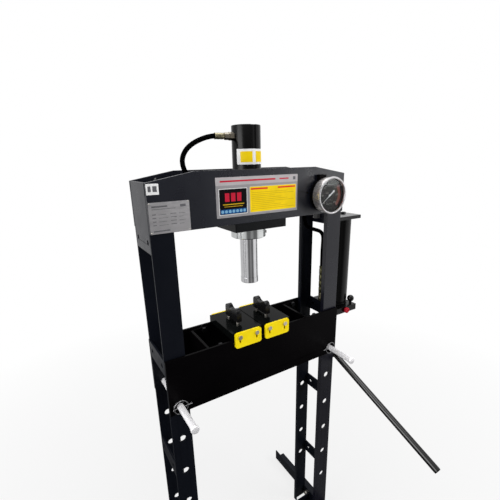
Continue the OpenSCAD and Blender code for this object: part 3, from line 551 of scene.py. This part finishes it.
def make_hose():
    """Round hose along its route, in place of the CAD hose."""
    path = smooth_path([Vector(p) * MM for p in HOSE_ROUTE], HOSE_STEP)
    curve = bpy.data.curves.new("hose_tube", "CURVE")
    curve.dimensions = "3D"
    curve.bevel_depth = HOSE_D / 2
    curve.bevel_resolution = 6
    curve.use_fill_caps = True
    spline = curve.splines.new("POLY")
    spline.points.add(len(path) - 1)
    for point, p in zip(spline.points, path):
        point.co = (*p, 1)
    obj = add_object("hose_tube", curve)
    curve.materials.append(MATS["hose_rubber"])
    spline.use_smooth = True
    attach(obj, "frame")
    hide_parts("hose")


# ---- ram
RAM_SIDES = 96


def notch_of(top, r):
    """Reshapes the barrel's radius into a small key notch in the front of its top edge."""
    half, deep = 5.5, 4.0
    outer_only, least = 33, 30.0
    quarter = math.pi / 2

    def shape(radius, angle, height):
        gap = abs((angle + quarter + math.pi) % (2 * math.pi) - math.pi) * r
        if height > top - deep and radius > outer_only and gap < half:
            return max(least, radius - deep)
        return radius

    return shape


def make_barrel(axis):
    """Ram barrel with a sunk cap."""
    lo, hi = span("ram_barrel")
    low, top, r = lo.z, hi.z, (hi.x - lo.x) / 2
    foot_bore, bore = 27, 34.0
    cap = top - 4.0
    dish = cap - 0.4
    lathe(
        "ram_cylinder",
        [
            (foot_bore, low), (r - 1.2, low), (r, low + 1.2), (r, top - 1.5), (r - 0.5, top - 0.5),
            (r - 1.5, top), (bore + 0.6, top), (bore, top - 0.6), (bore, cap), (bore - 1, dish),
            (6, dish), (5, cap), (0, cap),
        ],
        axis,
        "gloss_black",
        instead=("ram_barrel",),
        segments=RAM_SIDES,
        radius=notch_of(top, r),
    )


def make_rod(axis):
    """Chrome rod with a stop at its upper end and a fine groove above the nose, then the loose nose."""
    lo, hi = span("ram_rod")
    low, top = lo.z, hi.z
    r, stop_r = 26.7, 30
    groove, groove_deep = low + 1.5, 0.6
    stop = top - 12
    lathe(
        "ram_piston_rod",
        [
            (0, low), (r, low), (r, groove), (r - groove_deep, groove), (r, groove + 0.3), (r, groove + 0.9),
            (r, stop - 0.5), (r, stop), (stop_r, stop), (stop_r, top), (0, top),
        ],
        axis,
        "chrome",
        "ram",
        instead=("ram_rod",),
        segments=RAM_SIDES,
    )
    lo, hi = span("ram_nose")
    low, top, r = lo.z, hi.z, (hi.x - lo.x) / 2
    dish_r, dish = 8, low + 1.0
    lathe(
        "ram_pressing_nose",
        [
            (0, dish), (dish_r, dish), (dish_r + 1, low), (r - 1.0, low), (r - 0.3, low + 0.3),
            (r, low + 1.0), (r, low + 1.6), (r, top - 0.8), (r, top), (r - 1.0, top), (0, top),
        ],
        axis,
        "chrome",
        "ram",
        instead=("ram_nose",),
        segments=RAM_SIDES,
    )


def make_collar(axis, x, y):
    """Locking collar with a fine turned line and a socket screw in its side."""
    lo, hi = span("lock_collar")
    mid_z, r = (lo.z + hi.z) / 2, (hi.x - lo.x) / 2
    bore, chamfer = 41.3, 1.6
    line_low, line_high = hi.z - 7.2, hi.z - 6.6
    bm = bmesh.new()
    add_ring(bm, axis, bore, r, lo.z, hi.z, chamfer, RAM_SIDES)
    add_ring(bm, axis, r - 1.0, r, line_low, line_high, 0.1, RAM_SIDES)
    piece("lock_ring", bm, "collar_steel", instead=("lock_collar",))
    turn = Matrix.Rotation(math.radians(-40), 4, "Z") @ Matrix.Rotation(math.radians(90), 4, "Y")
    screw = at(x, y, mid_z, turn)
    bm = bmesh.new()
    add_ring(bm, screw, 2.4, 5.4, r - 3, r - 0.1, 0.4, 32)
    add_hex(bm, screw, 4.8, r - 4, r - 2.4, 0.3)
    piece("lock_ring_screw", bm, "dark_steel")


def make_ram():
    x, y = centre("ram_barrel")[:2]
    axis = at(x, y, 0)
    make_barrel(axis)
    make_rod(axis)
    make_collar(axis, x, y)


# ---- gauge
CASE_SIDES = 96
RIM_SIDES = 128
NEEDLE_REST = math.radians(218)
DIAL_ZERO = math.radians(225)
DIAL_SWEEP = math.radians(270)
DIAL_STEPS = 6
TICKS_PER_STEP = 10
RED_START = math.radians(-48)
RED_END = math.radians(40)
PRINT_T = 0.12


def make_gauge():
    """Gauge case, rim, glass, dial and pointer, in heights out from the head's front face."""
    head_front = span("head_front_plate")[0].y
    mid = centre("gauge_bezel")
    place = at(mid.x, head_front, mid.z, FRONT)

    def depth(node):
        """Nearest and farthest height of a node, and its radius."""
        lo, hi = span(node)
        return head_front - hi.y, head_front - lo.y, (hi.x - lo.x) / 2

    low, high, r = depth("gauge_case")
    hub, back = 12, low + 3
    lathe(
        "gauge_housing",
        [
            (hub, low), (r - 5, low), (r - 2, low + 0.8), (r - 0.4, low + 2.6), (r, low + 5),
            (r, high - 6), (r - 1.2, high - 5), (r - 1.2, high), (r - 2.2, high), (r - 2.2, back),
            (hub, back), (hub, low),
        ],
        place,
        "case_steel",
        instead=("gauge_case",),
        segments=CASE_SIDES,
    )
    low, high, r = depth("gauge_bezel")
    lip, seam = r - 6, high - 3.2
    lathe(
        "gauge_rim",
        [
            (r - 2.4, seam), (r - 0.8, seam), (r, high - 2.6), (r - 0.2, high - 1.6), (r - 1.4, high - 0.5),
            (r - 3.0, high), (lip + 1.4, high), (lip + 0.4, high - 0.6), (lip, high - 1.6), (lip, high - 4),
            (r - 2.4, seam),
        ],
        place,
        "bezel_steel",
        instead=("gauge_bezel",),
        segments=RIM_SIDES,
    )
    lathe(
        "gauge_rim_skirt",
        [
            (r - 3, low), (r - 2.4, low), (r - 2.1, low + 0.4), (r - 2.1, high - 6.0), (r - 1.6, high - 5.4),
            (r - 1.6, seam), (r - 3, seam), (r - 3, low),
        ],
        place,
        "case_steel",
        segments=RIM_SIDES,
    )
    glass_low, glass_high, _ = depth("gauge_window")
    glass_r = lip + 0.6
    lathe(
        "gauge_glass",
        [(0, glass_low), (glass_r, glass_low), (glass_r, glass_high), (0, glass_high)],
        place,
        "window",
        instead=("gauge_window",),
        segments=CASE_SIDES,
    )
    low, high, r = depth("gauge_dial")
    bore = 3.2
    lathe(
        "gauge_face",
        [(bore, low), (r, low), (r, high - 0.3), (r - 0.3, high), (bore, high), (bore, low)],
        place,
        "dial_black",
        instead=("gauge_dial",),
        segments=CASE_SIDES,
    )
    print_dial(place, high)
    foot, brim = high - 0.2, glass_low - 0.1
    lathe(
        "gauge_liner",
        [(r - 1.4, foot), (r + 0.4, foot), (r + 0.4, brim), (r + 0.1, brim), (r - 1.4, foot)],
        place,
        "dial_black",
        segments=CASE_SIDES,
    )
    low, high, _ = depth("gauge_needle")
    make_pointer(place @ Matrix.Rotation(NEEDLE_REST, 4, "Z"), low, high)


def make_pointer(place, low, high):
    """Waisted pointer with a round balance weight on its tail, on a spindle that starts at low."""
    tail, tip = -17.5, 39
    flat = high - 1.4
    right_half = [(tail, -1.6), (-3, -2.0), (6, -1.8), (8, -0.7), (tip, -0.35)]
    left_half = [(x, -y) for x, y in reversed(right_half)]
    weight = [(0, flat), (3.4, flat), (3.7, flat + 0.3), (3.7, high - 0.2), (3.4, high), (0, high)]
    hub = [(0, low), (1.2, low), (1.2, flat), (2.6, flat), (2.6, high - 0.3), (2.2, high), (0, high)]
    bm = bmesh.new()
    add_lathe(bm, weight, place @ Matrix.Translation((tail, 0, 0)), 40)
    add_prism(bm, place, right_half + left_half, flat + 0.2, high - 0.4)
    add_lathe(bm, hub, place, 32)
    piece("gauge_pointer", bm, "needle_white", "needle", ("gauge_needle",), False)


def print_dial(place, face):
    """Scale, numbers and small bars, then the red band and its thin amber line."""
    low, high = face, face + PRINT_T
    scale_r = 42.6
    bm = bmesh.new()
    add_arc_band(bm, place, 42.4, 42.8, DIAL_ZERO - DIAL_SWEEP, DIAL_ZERO, low, high, 90)
    ticks = DIAL_STEPS * TICKS_PER_STEP
    for k in range(ticks + 1):
        on_step = k % TICKS_PER_STEP == 0
        on_half = k % (TICKS_PER_STEP // 2) == 0
        inner = scale_r - (5.5 if on_step else 3.8 if on_half else 2.2)
        half = 0.7 if on_step else 0.35
        turn = place @ Matrix.Rotation(DIAL_ZERO - DIAL_SWEEP * k / ticks, 4, "Z")
        add_prism(bm, turn, [(inner, -half), (scale_r, -half), (scale_r, half), (inner, half)], low, high)
    print_numbers(bm, place, high)
    add_card(bm, place, -17, -5, 6.2, 7.8, low, high, 0.4)
    for k in range(4):
        drop = k % 2
        add_card(bm, place, -11 + 6 * k, -7 + 6 * k, -26.6 - drop, -24.8 - drop, low, high, 0.3)
    add_card(bm, place, -2, 7, -14.6, -13.6, low, high, 0.3)
    piece("gauge_scale", bm, "dial_print", smooth=False)
    bands = (("gauge_red_band", 35.5, 45.5, "dial_red"), ("gauge_amber_line", 33.6, 35.5, "dial_amber"))
    for name, inner, outer, look in bands:
        bm = bmesh.new()
        add_arc_band(bm, place, inner, outer, RED_START, RED_END, low, high - 0.05, 48)
        piece(name, bm, look, smooth=False)


def print_numbers(bm, place, top):
    """Plain numbers round the scale, just inside its long ticks."""
    number_r = 30.5
    numbers = bpy.data.curves.new("numbers", "FONT")
    numbers.resolution_u = 2
    numbers.size = 6.8
    numbers.offset = 0.12
    numbers.align_x = "CENTER"
    numbers.align_y = "CENTER"
    text = add_object("numbers", numbers)
    for k in range(DIAL_STEPS + 1):
        numbers.body = str(100 * k)
        a = DIAL_ZERO - DIAL_SWEEP * k / DIAL_STEPS
        shown = text.evaluated_get(bpy.context.evaluated_depsgraph_get())
        flat = bpy.data.meshes.new_from_object(shown)
        spot = (number_r * math.cos(a), number_r * math.sin(a), top - 0.02)
        flat.transform(place @ Matrix.Translation(spot))
        bm.from_mesh(flat)
        bpy.data.meshes.remove(flat)
    bpy.data.objects.remove(text)


# ---- hose fittings
SLEEVE_R = 8.5
NUT_LONG = 14
FITTING_SIDES = 48


def make_fittings():
    """Nut and crimped sleeve at each end of the hose."""
    lo, hi = span("hose_ferrule_pump")
    mid = centre("hose_ferrule_pump")
    place = at(mid.x, mid.y, 0)
    nut_top = lo.z + NUT_LONG
    bm = bmesh.new()
    add_hex(bm, place, hi.x - lo.x, lo.z, nut_top)
    piece("hose_nut_pump", bm, "yellow_zinc", edge=0.5)
    lathe(
        "hose_sleeve_pump",
        crimped(SLEEVE_R, nut_top - 2, hi.z, 4),
        place,
        "ferrule_dark",
        instead=("hose_ferrule_pump",),
        segments=FITTING_SIDES,
    )
    lo, hi = span("hose_ferrule_ram")
    mid = centre("hose_ferrule_ram")
    place = at(hi.x, mid.y, mid.z, LEFT)
    bm = bmesh.new()
    add_hex(bm, place, hi.z - lo.z, 0, NUT_LONG)
    piece("hose_nut_ram", bm, "nut_steel", edge=0.5)
    lathe(
        "hose_sleeve_ram",
        crimped(SLEEVE_R, NUT_LONG - 2, hi.x - lo.x, 2),
        place,
        "yellow_zinc",
        instead=("hose_ferrule_ram",),
        segments=FITTING_SIDES,
    )


def crimped(r, low, high, grooves):
    """Profile of a swaged sleeve with crimp grooves and an open mouth for the hose."""
    mouth = 6.6
    out = [(0, low), (r - 1.6, low), (r - 1.2, low + 4)]
    start, end = low + 6, high - 4
    pitch = (end - start) / grooves
    for k in range(grooves):
        z = start + k * pitch
        out += [(r, z), (r, z + pitch * 0.66), (r - 0.7, z + pitch * 0.74), (r - 0.7, z + pitch * 0.92)]
    return out + [(r, end), (r, high - 0.8), (r - 0.8, high), (mouth, high), (mouth, high - 2), (0, high - 2)]


# ---- pump
FLUTES = 14
SEAM_TALL = 5.0


def make_reservoir():
    """Pump tank with a rolled seam at its foot and its top."""
    lo, hi = span("pump_tank")
    mid = centre("pump_tank")
    r = (hi.x - lo.x) / 2
    seam = [(r - 1.0, 0), (r - 0.2, 1.2), (r, 2.4), (r - 0.2, 3.6), (r - 1.0, 4.8)]
    lathe(
        "pump_reservoir",
        [(0, lo.z)]
        + [(x, lo.z + 0.2 + z) for x, z in seam]
        + [(x, hi.z - SEAM_TALL + z) for x, z in seam]
        + [(0, hi.z)],
        at(mid.x, mid.y, 0),
        "gloss_black",
        instead=("pump_tank",),
        segments=96,
    )


def make_release_wheel():
    """Fluted knob of the release valve on its short stem."""
    lo, hi = span("release_knob")
    mid = centre("release_knob")
    r = (hi.x - lo.x) / 2 - 1.6
    deep = 10.0
    stem_r, stem_end = 4.9, -(hi.y - lo.y - deep)

    def fluted(radius, angle, height):
        if radius < r - 1.5 or not 1.0 < height < deep - 1.0:
            return radius
        return radius - 0.7 * (0.5 - 0.5 * math.cos(FLUTES * angle)) ** 2

    lathe(
        "release_handwheel",
        [
            (0, stem_end), (stem_r, stem_end), (stem_r, -0.2), (r - 3, 0), (r - 0.8, 0.4), (r - 0.2, 1.4),
            (r, 2.4), (r, deep - 2.6), (r - 0.4, deep - 1.4), (r - 1.6, deep - 0.4), (r - 3.4, deep),
            (5, deep - 0.4), (4.2, deep - 1.4), (0, deep - 1.6),
        ],
        at(mid.x, lo.y + deep, mid.z, FRONT),
        "red_plastic",
        "release_valve",
        instead=("release_knob",),
        segments=112,
        radius=fluted,
    )


def make_valve_ball():
    """Ball knob on a stem with a small shoulder."""
    lo, hi = span("ball_knob")
    mid = centre("ball_knob")
    r = (hi.x - lo.x) / 2
    ball_z = hi.z - r
    stem_r = 4.9
    turns = [math.radians(26 + 7 * k) for k in range(22)]
    arc = [(r * math.sin(t), ball_z - r * math.cos(t)) for t in turns]
    neck = arc[0][1]
    lathe(
        "valve_ball",
        [(0, lo.z), (stem_r, lo.z), (stem_r, neck - 1.4), (stem_r + 0.5, neck - 1.2)] + arc + [(0, hi.z)],
        at(mid.x, mid.y, 0),
        "black_plastic",
        "ball_valve",
        instead=("ball_knob",),
    )


LEVER_TILT = math.radians(22.1)
TUBE_R = 10.5
TUBE_WALL = 2
TUBE_SIDES = 48


def make_handle():
    """Handle tube and its end plug, in distances from the lever's pivot."""
    pivot = centre("lever_pivot_pin")
    place = at(*pivot, Matrix.Rotation(LEVER_TILT, 4, "X") @ FRONT)
    near, far, plug = 34.0, 494.0, 497.0
    r, inner = TUBE_R, TUBE_R - TUBE_WALL
    lathe(
        "lever_tube",
        [
            (inner, near), (r - 0.6, near), (r, near + 0.6), (r, far - 0.6), (r - 0.6, far),
            (inner, far), (inner, near),
        ],
        place,
        "handle_black",
        "lever",
        instead=("pump_handle",),
        segments=TUBE_SIDES,
    )
    lathe(
        "lever_tube_plug",
        [
            (0, far - 12), (inner - 0.1, far - 12), (inner - 0.1, far), (r - 0.3, far),
            (r - 0.3, plug - 1.6), (r - 1.2, plug - 0.4), (r - 3, plug), (0, plug),
        ],
        place,
        "black_plastic",
        "lever",
        instead=("handle_plug",),
        segments=TUBE_SIDES,
    )


# ---- bed pins
PIN_R = 9.5
WIRE_R = 1.15
LOOP_STEPS = 60
LOOP_START = 12
LOOP_TURN = 336


def make_support_pin(side):
    """Headed pin that carries the bed, drawn from its far end to its head."""
    lo, hi = span("bed_pin_" + side)
    mid = centre("bed_pin_" + side)
    long, head, r = hi.y - lo.y, (hi.x - lo.x) / 2, PIN_R
    neck = long - 9
    lathe(
        "support_pin_" + side,
        [
            (0, 0), (r - 3, 0), (r - 2.2, 0.4), (r - 0.2, 2.4), (r, 3.2), (r, neck), (head - 0.8, neck),
            (head, long - 8.2), (head, long - 2.4), (head - 0.8, long - 0.8), (head - 2.4, long), (0, long),
        ],
        at(mid.x, hi.y, mid.z, FRONT),
        "pin_steel",
        "pin_" + side,
        instead=("bed_pin_" + side,),
    )


def make_pin_clip(side):
    """Wire ring round a pin, with a leg that passes through the pin."""
    lo, hi = span("pin_clips_" + side)
    hub = centre("bed_pin_" + side)
    y = (lo.y + hi.y) / 2
    ring = (hi.z - lo.z) / 2 - (hi.y - lo.y) / 2
    way, end, tip = (1, hi.x, lo.x) if side == "right" else (-1, lo.x, hi.x)
    bend = 4.5
    points = []
    for k in range(LOOP_STEPS + 1):
        a = math.radians(LOOP_START + LOOP_TURN * k / LOOP_STEPS)
        points.append(Vector((hub.x + way * ring * math.cos(a), y, hub.z + ring * math.sin(a))))
    for inward, drop in ((0, bend * 0.55), (0.6, bend * 0.2), (2.4, 0)):
        points.append(Vector((end - way * (WIRE_R + inward), y, hub.z - drop)))
    points.append(Vector((tip, y, hub.z)))
    bm = bmesh.new()
    add_tube(bm, points, WIRE_R, 12)
    piece("pin_ring_" + side, bm, "wire_steel", "pin_" + side, ("pin_clips_" + side,))


def make_pins():
    for side in ("left", "right"):
        make_support_pin(side)
        make_pin_clip(side)


# ---- labels
# Label cards lie on the head's front face, in x and z of the part in millimetres.
# Each layer lifts a card a little off the one below.
LABEL_T = 0.25
LAYER_STEP = 0.12
BAR_CORNER = 0.6


def card(name, place, x0, x1, z0, z1, look, layer, corner):
    """One plain field of colour with round corners."""
    bm = bmesh.new()
    low = layer * LAYER_STEP
    add_card(bm, place, x0, x1, z0, z1, low, low + LABEL_T, corner)
    piece(name, bm, look, smooth=False)


def bars(name, place, rows, look, layer=1):
    """Several small plain bars as one piece: (x0, x1, z0, z1) each."""
    bm = bmesh.new()
    low = layer * LAYER_STEP
    for x0, x1, z0, z1 in rows:
        corner = min(BAR_CORNER, (z1 - z0) / 2.2)
        add_card(bm, place, x0, x1, z0, z1, low, low + LABEL_T, corner, 2)
    piece(name, bm, look, smooth=False)


def make_square_label(place):
    card("label_square", place, -314, -284.4, 1450.5, 1475.6, "label_white", 0, 1.5)
    bars("label_square_lines", place, [(-310, -303, 1457, 1470), (-299, -289, 1457, 1470)], "label_ink")


def make_plate_label(place, head_front):
    """Metal plate with four rows of plain bars and a rivet at each corner."""
    card("plate_label", place, -314, -212.5, 1358.6, 1433, "label_metal", 0, 2.5)
    rows = [(-306, -268, 1421, 1424.4), (-306, -248, 1416.4, 1417.4), (-236, -222, 1419, 1425)]
    for k in range(4):
        z = 1404 - 8.4 * k
        odd = k % 2
        rows += [(-306, -297, z, z + 1.6), (-291, -272 + 4 * odd, z - 0.4, z + 0.4)]
        rows += [(-262, -247, z, z + 1.4), (-241, -224 - 5 * odd, z - 0.4, z + 0.4)]
    rows += [(-306, -266, 1363.6, 1367)]
    bars("plate_label_lines", place, rows, "label_ink")
    rivet = [(0, 1.0), (0.8, 0.9), (1.4, 0.5), (1.7, 0.2), (1.7, 0)]
    bm = bmesh.new()
    for x in (-311, -215.5):
        for z in (1361.6, 1430):
            add_lathe(bm, rivet, at(x, head_front, z, FRONT), 16)
    piece("plate_label_rivets", bm, "bolt_steel")


def make_main_label(place, head_front):
    """Grey label with a pale strip, a black field with red marks, and a yellow field."""
    card("main_label", place, -139.5, 125, 1378.5, 1482, "label_grey", 0, 1.2)
    card("main_label_strip", place, -139.5, 125, 1461.5, 1482, "label_pale", 1, 1.2)
    red_bars = [(-127, 46, 1469.6, 1473.8), (60, 92, 1469.8, 1473.4)]
    bars("main_label_red_bar", place, red_bars, "label_red", 2)
    bars("main_label_grey_bar", place, [(108, 117, 1467, 1476)], "label_ink", 2)
    card("main_label_white", place, -132, -46.5, 1385.5, 1453.5, "label_white", 1, 2.5)
    card("main_label_black", place, -130.4, -48, 1387, 1452, "label_black", 2, 2.0)
    marks = [(-114 + 18 * k, -101 + 18 * k, 1420, 1442) for k in range(3)]
    bars("main_label_mark", place, marks, "label_red", 3)
    lines = [(-121, -57, 1411.5, 1414), (-117, -61, 1406.2, 1407.6)]
    bars("main_label_lines", place, lines, "label_ochre", 3)
    card("main_label_blue", place, -128.4, -50, 1388.6, 1400, "label_blue", 3, 1.5)
    dot = [(0, 0), (4.1, 0), (4.1, 0.14), (3.9, 0.18), (0, 0.18)]
    bm = bmesh.new()
    for k in range(7):
        add_lathe(bm, dot, at(-122.5 + 11.1 * k, head_front - 0.6, 1394.3, FRONT), 24)
    piece("main_label_dots", bm, "label_dots", smooth=False)
    card("main_label_yellow_rim", place, -39.5, 120.5, 1384.5, 1455.5, "label_pale", 1, 3.0)
    card("main_label_yellow", place, -38, 119, 1386, 1454, "label_yellow", 2, 2.5)
    headers = [(-35, 20, 1446, 1450.6), (54, 116, 1446, 1450.6)]
    bars("main_label_header", place, headers, "label_orange", 3)
    rows = [(-33, 112 - 23 * ((k * 5) % 4), 1393 + 5.0 * k, 1394 + 5.0 * k) for k in range(10)]
    bars("main_label_text_lines", place, rows, "label_ochre", 3)


def make_barrel_label():
    """White band round the barrel's front and right side, with two plain yellow fields."""
    lo, hi = span("ram_barrel")
    mid = centre("ram_barrel")
    r = (hi.x - lo.x) / 2
    place = at(mid.x, mid.y, 0)
    start, end = math.radians(-161), math.radians(0)
    bm = bmesh.new()
    add_arc_band(bm, place, r, r + 0.25, start, end, 1511.5, 1552.3, 48)
    piece("barrel_label", bm, "label_white", smooth=False)
    half = math.radians(24)
    bm = bmesh.new()
    for a in (math.radians(-121), math.radians(-59)):
        add_arc_band(bm, place, r, r + 0.4, a - half, a + half, 1517.5, 1546, 14)
    piece("barrel_label_fields", bm, "label_yellow", smooth=False)


def make_labels():
    head_front = span("head_front_plate")[0].y
    place = at(0, head_front, 0, FRONT)
    make_square_label(place)
    make_plate_label(place, head_front)
    make_main_label(place, head_front)
    make_barrel_label()


# ---- small ironwork
def make_washers():
    """Washer behind each bolt of the bed, on the inner faces of its plates."""
    lo, hi = span("bed_bolts")
    bolt_z = centre("bed_bolts").z
    inner = span("bed_front_plate")[1].y
    inset = 6.3
    hole, rim, thick = 5.4, 11.0, 1.4
    bm = bmesh.new()
    for x in (lo.x + inset, hi.x - inset):
        for y in (inner, -inner):
            way = Matrix.Rotation(math.radians(-90 if y < 0 else 90), 4, "X")
            add_ring(bm, at(x, y, bolt_z, way), hole, rim, 0.0, thick, 0.3, 40)
    piece("bed_washers", bm, "dark_steel")


def make_slot_shades():
    """Painted shade: a dark card on the block face at the floor of the slot below each bolt of the yellow end
    plates.
    """
    bolt_z = centre("block_bolts").z
    bolt_x, half, drop, gap = 29.0, 2.9, 19.8, 0.05
    back = Matrix.Rotation(math.pi, 4, "Z") @ FRONT
    bm = bmesh.new()
    for side in ("left", "right"):
        lo, hi = span("press_block_" + side)
        for y, turn in ((lo.y - gap, FRONT), (hi.y + gap, back)):
            place = at((lo.x + hi.x) / 2, y, bolt_z, turn)
            for x in (-bolt_x, bolt_x):
                add_card(bm, place, x - half, x + half, -drop, half, 0, 0.12, half - 0.1)
    piece("slot_shades", bm, "slot_shade", smooth=False)


def make_welds():
    """Beads at the pump's shelf and base, the head's seat and the bed's cross plates."""
    shelf = span("pump_shelf")
    base = span("pump_base")
    x = shelf[0].x
    near, far = shelf[0].y + 3, shelf[1].y - 3
    ends = [((x, near, z), (x, far, z)) for z in (shelf[0].z, shelf[1].z)]
    weld_bead("shelf_weld", ends, 2.6)
    near, far = base[0].y, base[1].y
    low, high = base[0].z, base[1].z
    gap = 70
    ends = [
        ((x, near + 1, high), (x, -gap, high)),
        ((x, gap, high), (x, far - 1, high)),
        ((x, near + 3, low), (x, far - 3, low)),
    ]
    weld_bead("base_weld", ends, 2.4)
    seat = span("head_seat")
    top = seat[1].z
    for side, x in (("left", seat[0].x), ("right", seat[1].x)):
        ends = [((x, -73, top), (x, -62, top)), ((x, 62, top), (x, 73, top))]
        weld_bead("seat_weld_" + side, ends, 2.2)
    web = span("bed_cross_plates")
    low, high = web[0].z + 4, web[1].z - 4
    faces = (("front", span("bed_front_plate")[1].y), ("rear", span("bed_rear_plate")[0].y))
    for side, y in faces:
        ends = [((x, y, low), (x, y, high)) for x in (web[0].x, 178.0)]
        weld_bead("bed_weld_" + side, ends, 2.2)


def make_head_stud():
    """Threaded stud with a plain nut inside the head's left end."""
    top = span("head_end_plate_left")[1].z
    axis = at(-284.0, -58.0, 0)
    bm = bmesh.new()
    add_lathe(bm, screw_thread(2.5, top - 34, top + 9), axis, 24)
    add_hex(bm, axis, 9.0, top + 1, top + 5)
    piece("head_stud", bm, "stud_steel")


def screw_thread(r, low, high, pitch=1.25, depth=0.45):
    """Profile of a rod with plain thread grooves."""
    out = [(0, low)]
    count = int((high - low - 1) / pitch)
    for k in range(count):
        out += [(r - depth, low + k * pitch), (r, low + (k + 0.5) * pitch)]
    return out + [(r - depth, high - 0.6), (r - 1.2, high), (0, high)]


make_hose()
make_ram()
make_head_stud()
make_gauge()
make_fittings()
make_reservoir()
make_release_wheel()
make_valve_ball()
make_handle()
make_pins()
make_labels()
make_washers()
make_slot_shades()
make_welds()

# ---- stage
FLOOR_HALF = 12.0
FLOOR_GREY = 0.5
WORLD_LIGHT = 0.36
# Name, place, aim, size in metres, watts, and whether gloss mirrors the lamp
LAMPS = (
    ("key_left", (-2.6, -0.3, 1.9), (0, 0, 1.1), (1.8, 2.2), 55, True),
    ("top", (0.2, 0.2, 3.4), (0, 0, 1.0), (2.4, 2.4), 60, True),
    ("panel_high", (1.75, -1.6, 1.88), (0.2, 0, 1.42), (1.9, 1.2), 40, False),
    ("dial_card", (1.772, -1.682, 1.382), (0.222, -0.121, 1.382), (0.32, 0.20), 1.1, True),
    ("panel_low", (1.95, -1.1, 0.46), (0.3, 0, 0.8), (1.6, 0.85), 0.5, True),
)


def set_or_link(tree, socket, value):
    """A number is set on the socket itself; an output is linked to it."""
    if isinstance(value, (int, float)):
        socket.default_value = value
    else:
        tree.links.new(value, socket)


def math_node(tree, operation, a, b):
    node = tree.nodes.new("ShaderNodeMath")
    node.operation = operation
    set_or_link(tree, node.inputs[0], a)
    set_or_link(tree, node.inputs[1], b)
    return node.outputs[0]


def multiply(tree, a, b):
    return math_node(tree, "MULTIPLY", a, b)


def largest(tree, first, *others):
    for value in others:
        first = math_node(tree, "MAXIMUM", first, value)
    return first


def mix_value(tree, factor, a, b):
    node = tree.nodes.new("ShaderNodeMix")
    set_or_link(tree, node.inputs["A"], a)
    set_or_link(tree, node.inputs["B"], b)
    tree.links.new(factor, node.inputs["Factor"])
    return node.outputs["Result"]


def surround(tree, direction):
    """Studio brightness that gloss sees: pale behind, above and on both sides, darker in front."""
    split = tree.nodes.new("ShaderNodeSeparateXYZ")
    tree.links.new(direction, split.inputs[0])
    x, y, z = (split.outputs[k] for k in "XYZ")
    right = ramp(tree, x, 0.37, 0.55, 0.0, 0.72)
    left = ramp(tree, x, -0.80, -0.62, 0.62, 0.14)
    strip_on = ramp(tree, x, -0.34, -0.30, 0.0, 0.26)
    strip_off = ramp(tree, x, 0.0, 0.05, 1.0, 0.0)
    strip = multiply(tree, strip_on, strip_off)
    rear_on = ramp(tree, y, -0.1, 0.4, 0.0, 1.0)
    rear = multiply(tree, rear_on, ramp(tree, x, -0.4, 0.5, 0.58, 0.88))
    above = ramp(tree, z, 0.35, 0.7, 0.0, 0.9)
    return largest(tree, right, left, strip, rear, above)


def vector_node(tree, operation, vector, output):
    node = tree.nodes.new("ShaderNodeVectorMath")
    node.operation = operation
    tree.links.new(vector, node.inputs[0])
    return node.outputs[output]


def gloss_rays(tree, paths):
    return largest(tree, paths.outputs["Is Glossy Ray"], paths.outputs["Is Transmission Ray"])


def floor_material():
    """Grey floor with shadows, fading to white for the camera; gloss sees the studio's light in it."""
    mat, tree, bsdf = new_material("floor")
    grey = (FLOOR_GREY, FLOOR_GREY, FLOOR_GREY, 1)
    set_inputs(bsdf, {"Base Color": grey, "Roughness": 0.9, "Specular IOR Level": 0.1})
    place = object_coords(tree)
    length = vector_node(tree, "LENGTH", place, "Value")
    direction = vector_node(tree, "NORMALIZE", place, "Vector")
    paths = tree.nodes.new("ShaderNodeLightPath")
    seen = paths.outputs["Is Camera Ray"]
    near = multiply(tree, seen, ramp(tree, length, 0.5, 2.4, 0.76, 1.0))
    # Near the press, gloss sees the floor darker
    around = multiply(tree, surround(tree, direction), ramp(tree, length, 1.4, 2.1, 0.2, 1.0))
    white = tree.nodes.new("ShaderNodeEmission")
    tree.links.new(mix_value(tree, seen, around, 1.0), white.inputs["Strength"])
    mix = tree.nodes.new("ShaderNodeMixShader")
    tree.links.new(largest(tree, near, gloss_rays(tree, paths)), mix.inputs["Fac"])
    tree.links.new(bsdf.outputs[0], mix.inputs[1])
    tree.links.new(white.outputs[0], mix.inputs[2])
    tree.links.new(mix.outputs[0], tree.nodes["Material Output"].inputs["Surface"])
    return mat


def make_floor():
    bm = bmesh.new()
    bmesh.ops.create_grid(bm, x_segments=1, y_segments=1, size=FLOOR_HALF)
    mesh = bpy.data.meshes.new("floor")
    bm.to_mesh(mesh)
    bm.free()
    floor = add_object("floor", mesh)
    floor.data.materials.append(floor_material())


def area_light(name, pos, target, size, power, glossy):
    """Rectangular lamp that the camera doesn't see."""
    data = bpy.data.lights.new(name, "AREA")
    data.shape = "RECTANGLE"
    data.size, data.size_y = size
    data.energy = power
    obj = add_object(name, data)
    aim = Vector(target) - Vector(pos)
    obj.matrix_world = Matrix.Translation(pos) @ aim.to_track_quat("-Z", "Y").to_matrix().to_4x4()
    obj.visible_camera = False
    obj.visible_glossy = glossy


def make_world():
    """White for the camera, an even glow for plain light and the studio for gloss."""
    world = bpy.data.worlds.new("world")
    bpy.context.scene.world = world
    world.use_nodes = True
    tree = world.node_tree
    sky = tree.nodes["Background"]
    set_inputs(sky, {"Color": (1, 1, 1, 1)})
    paths = tree.nodes.new("ShaderNodeLightPath")
    coords = tree.nodes.new("ShaderNodeTexCoord")
    studio = surround(tree, coords.outputs["Generated"])
    lit = mix_value(tree, gloss_rays(tree, paths), WORLD_LIGHT, studio)
    tree.links.new(mix_value(tree, paths.outputs["Is Camera Ray"], lit, 1.0), sky.inputs["Strength"])


make_floor()
for lamp in LAMPS:
    area_light(*lamp)
make_world()
bpy.context.scene.view_settings.view_transform = "Standard"
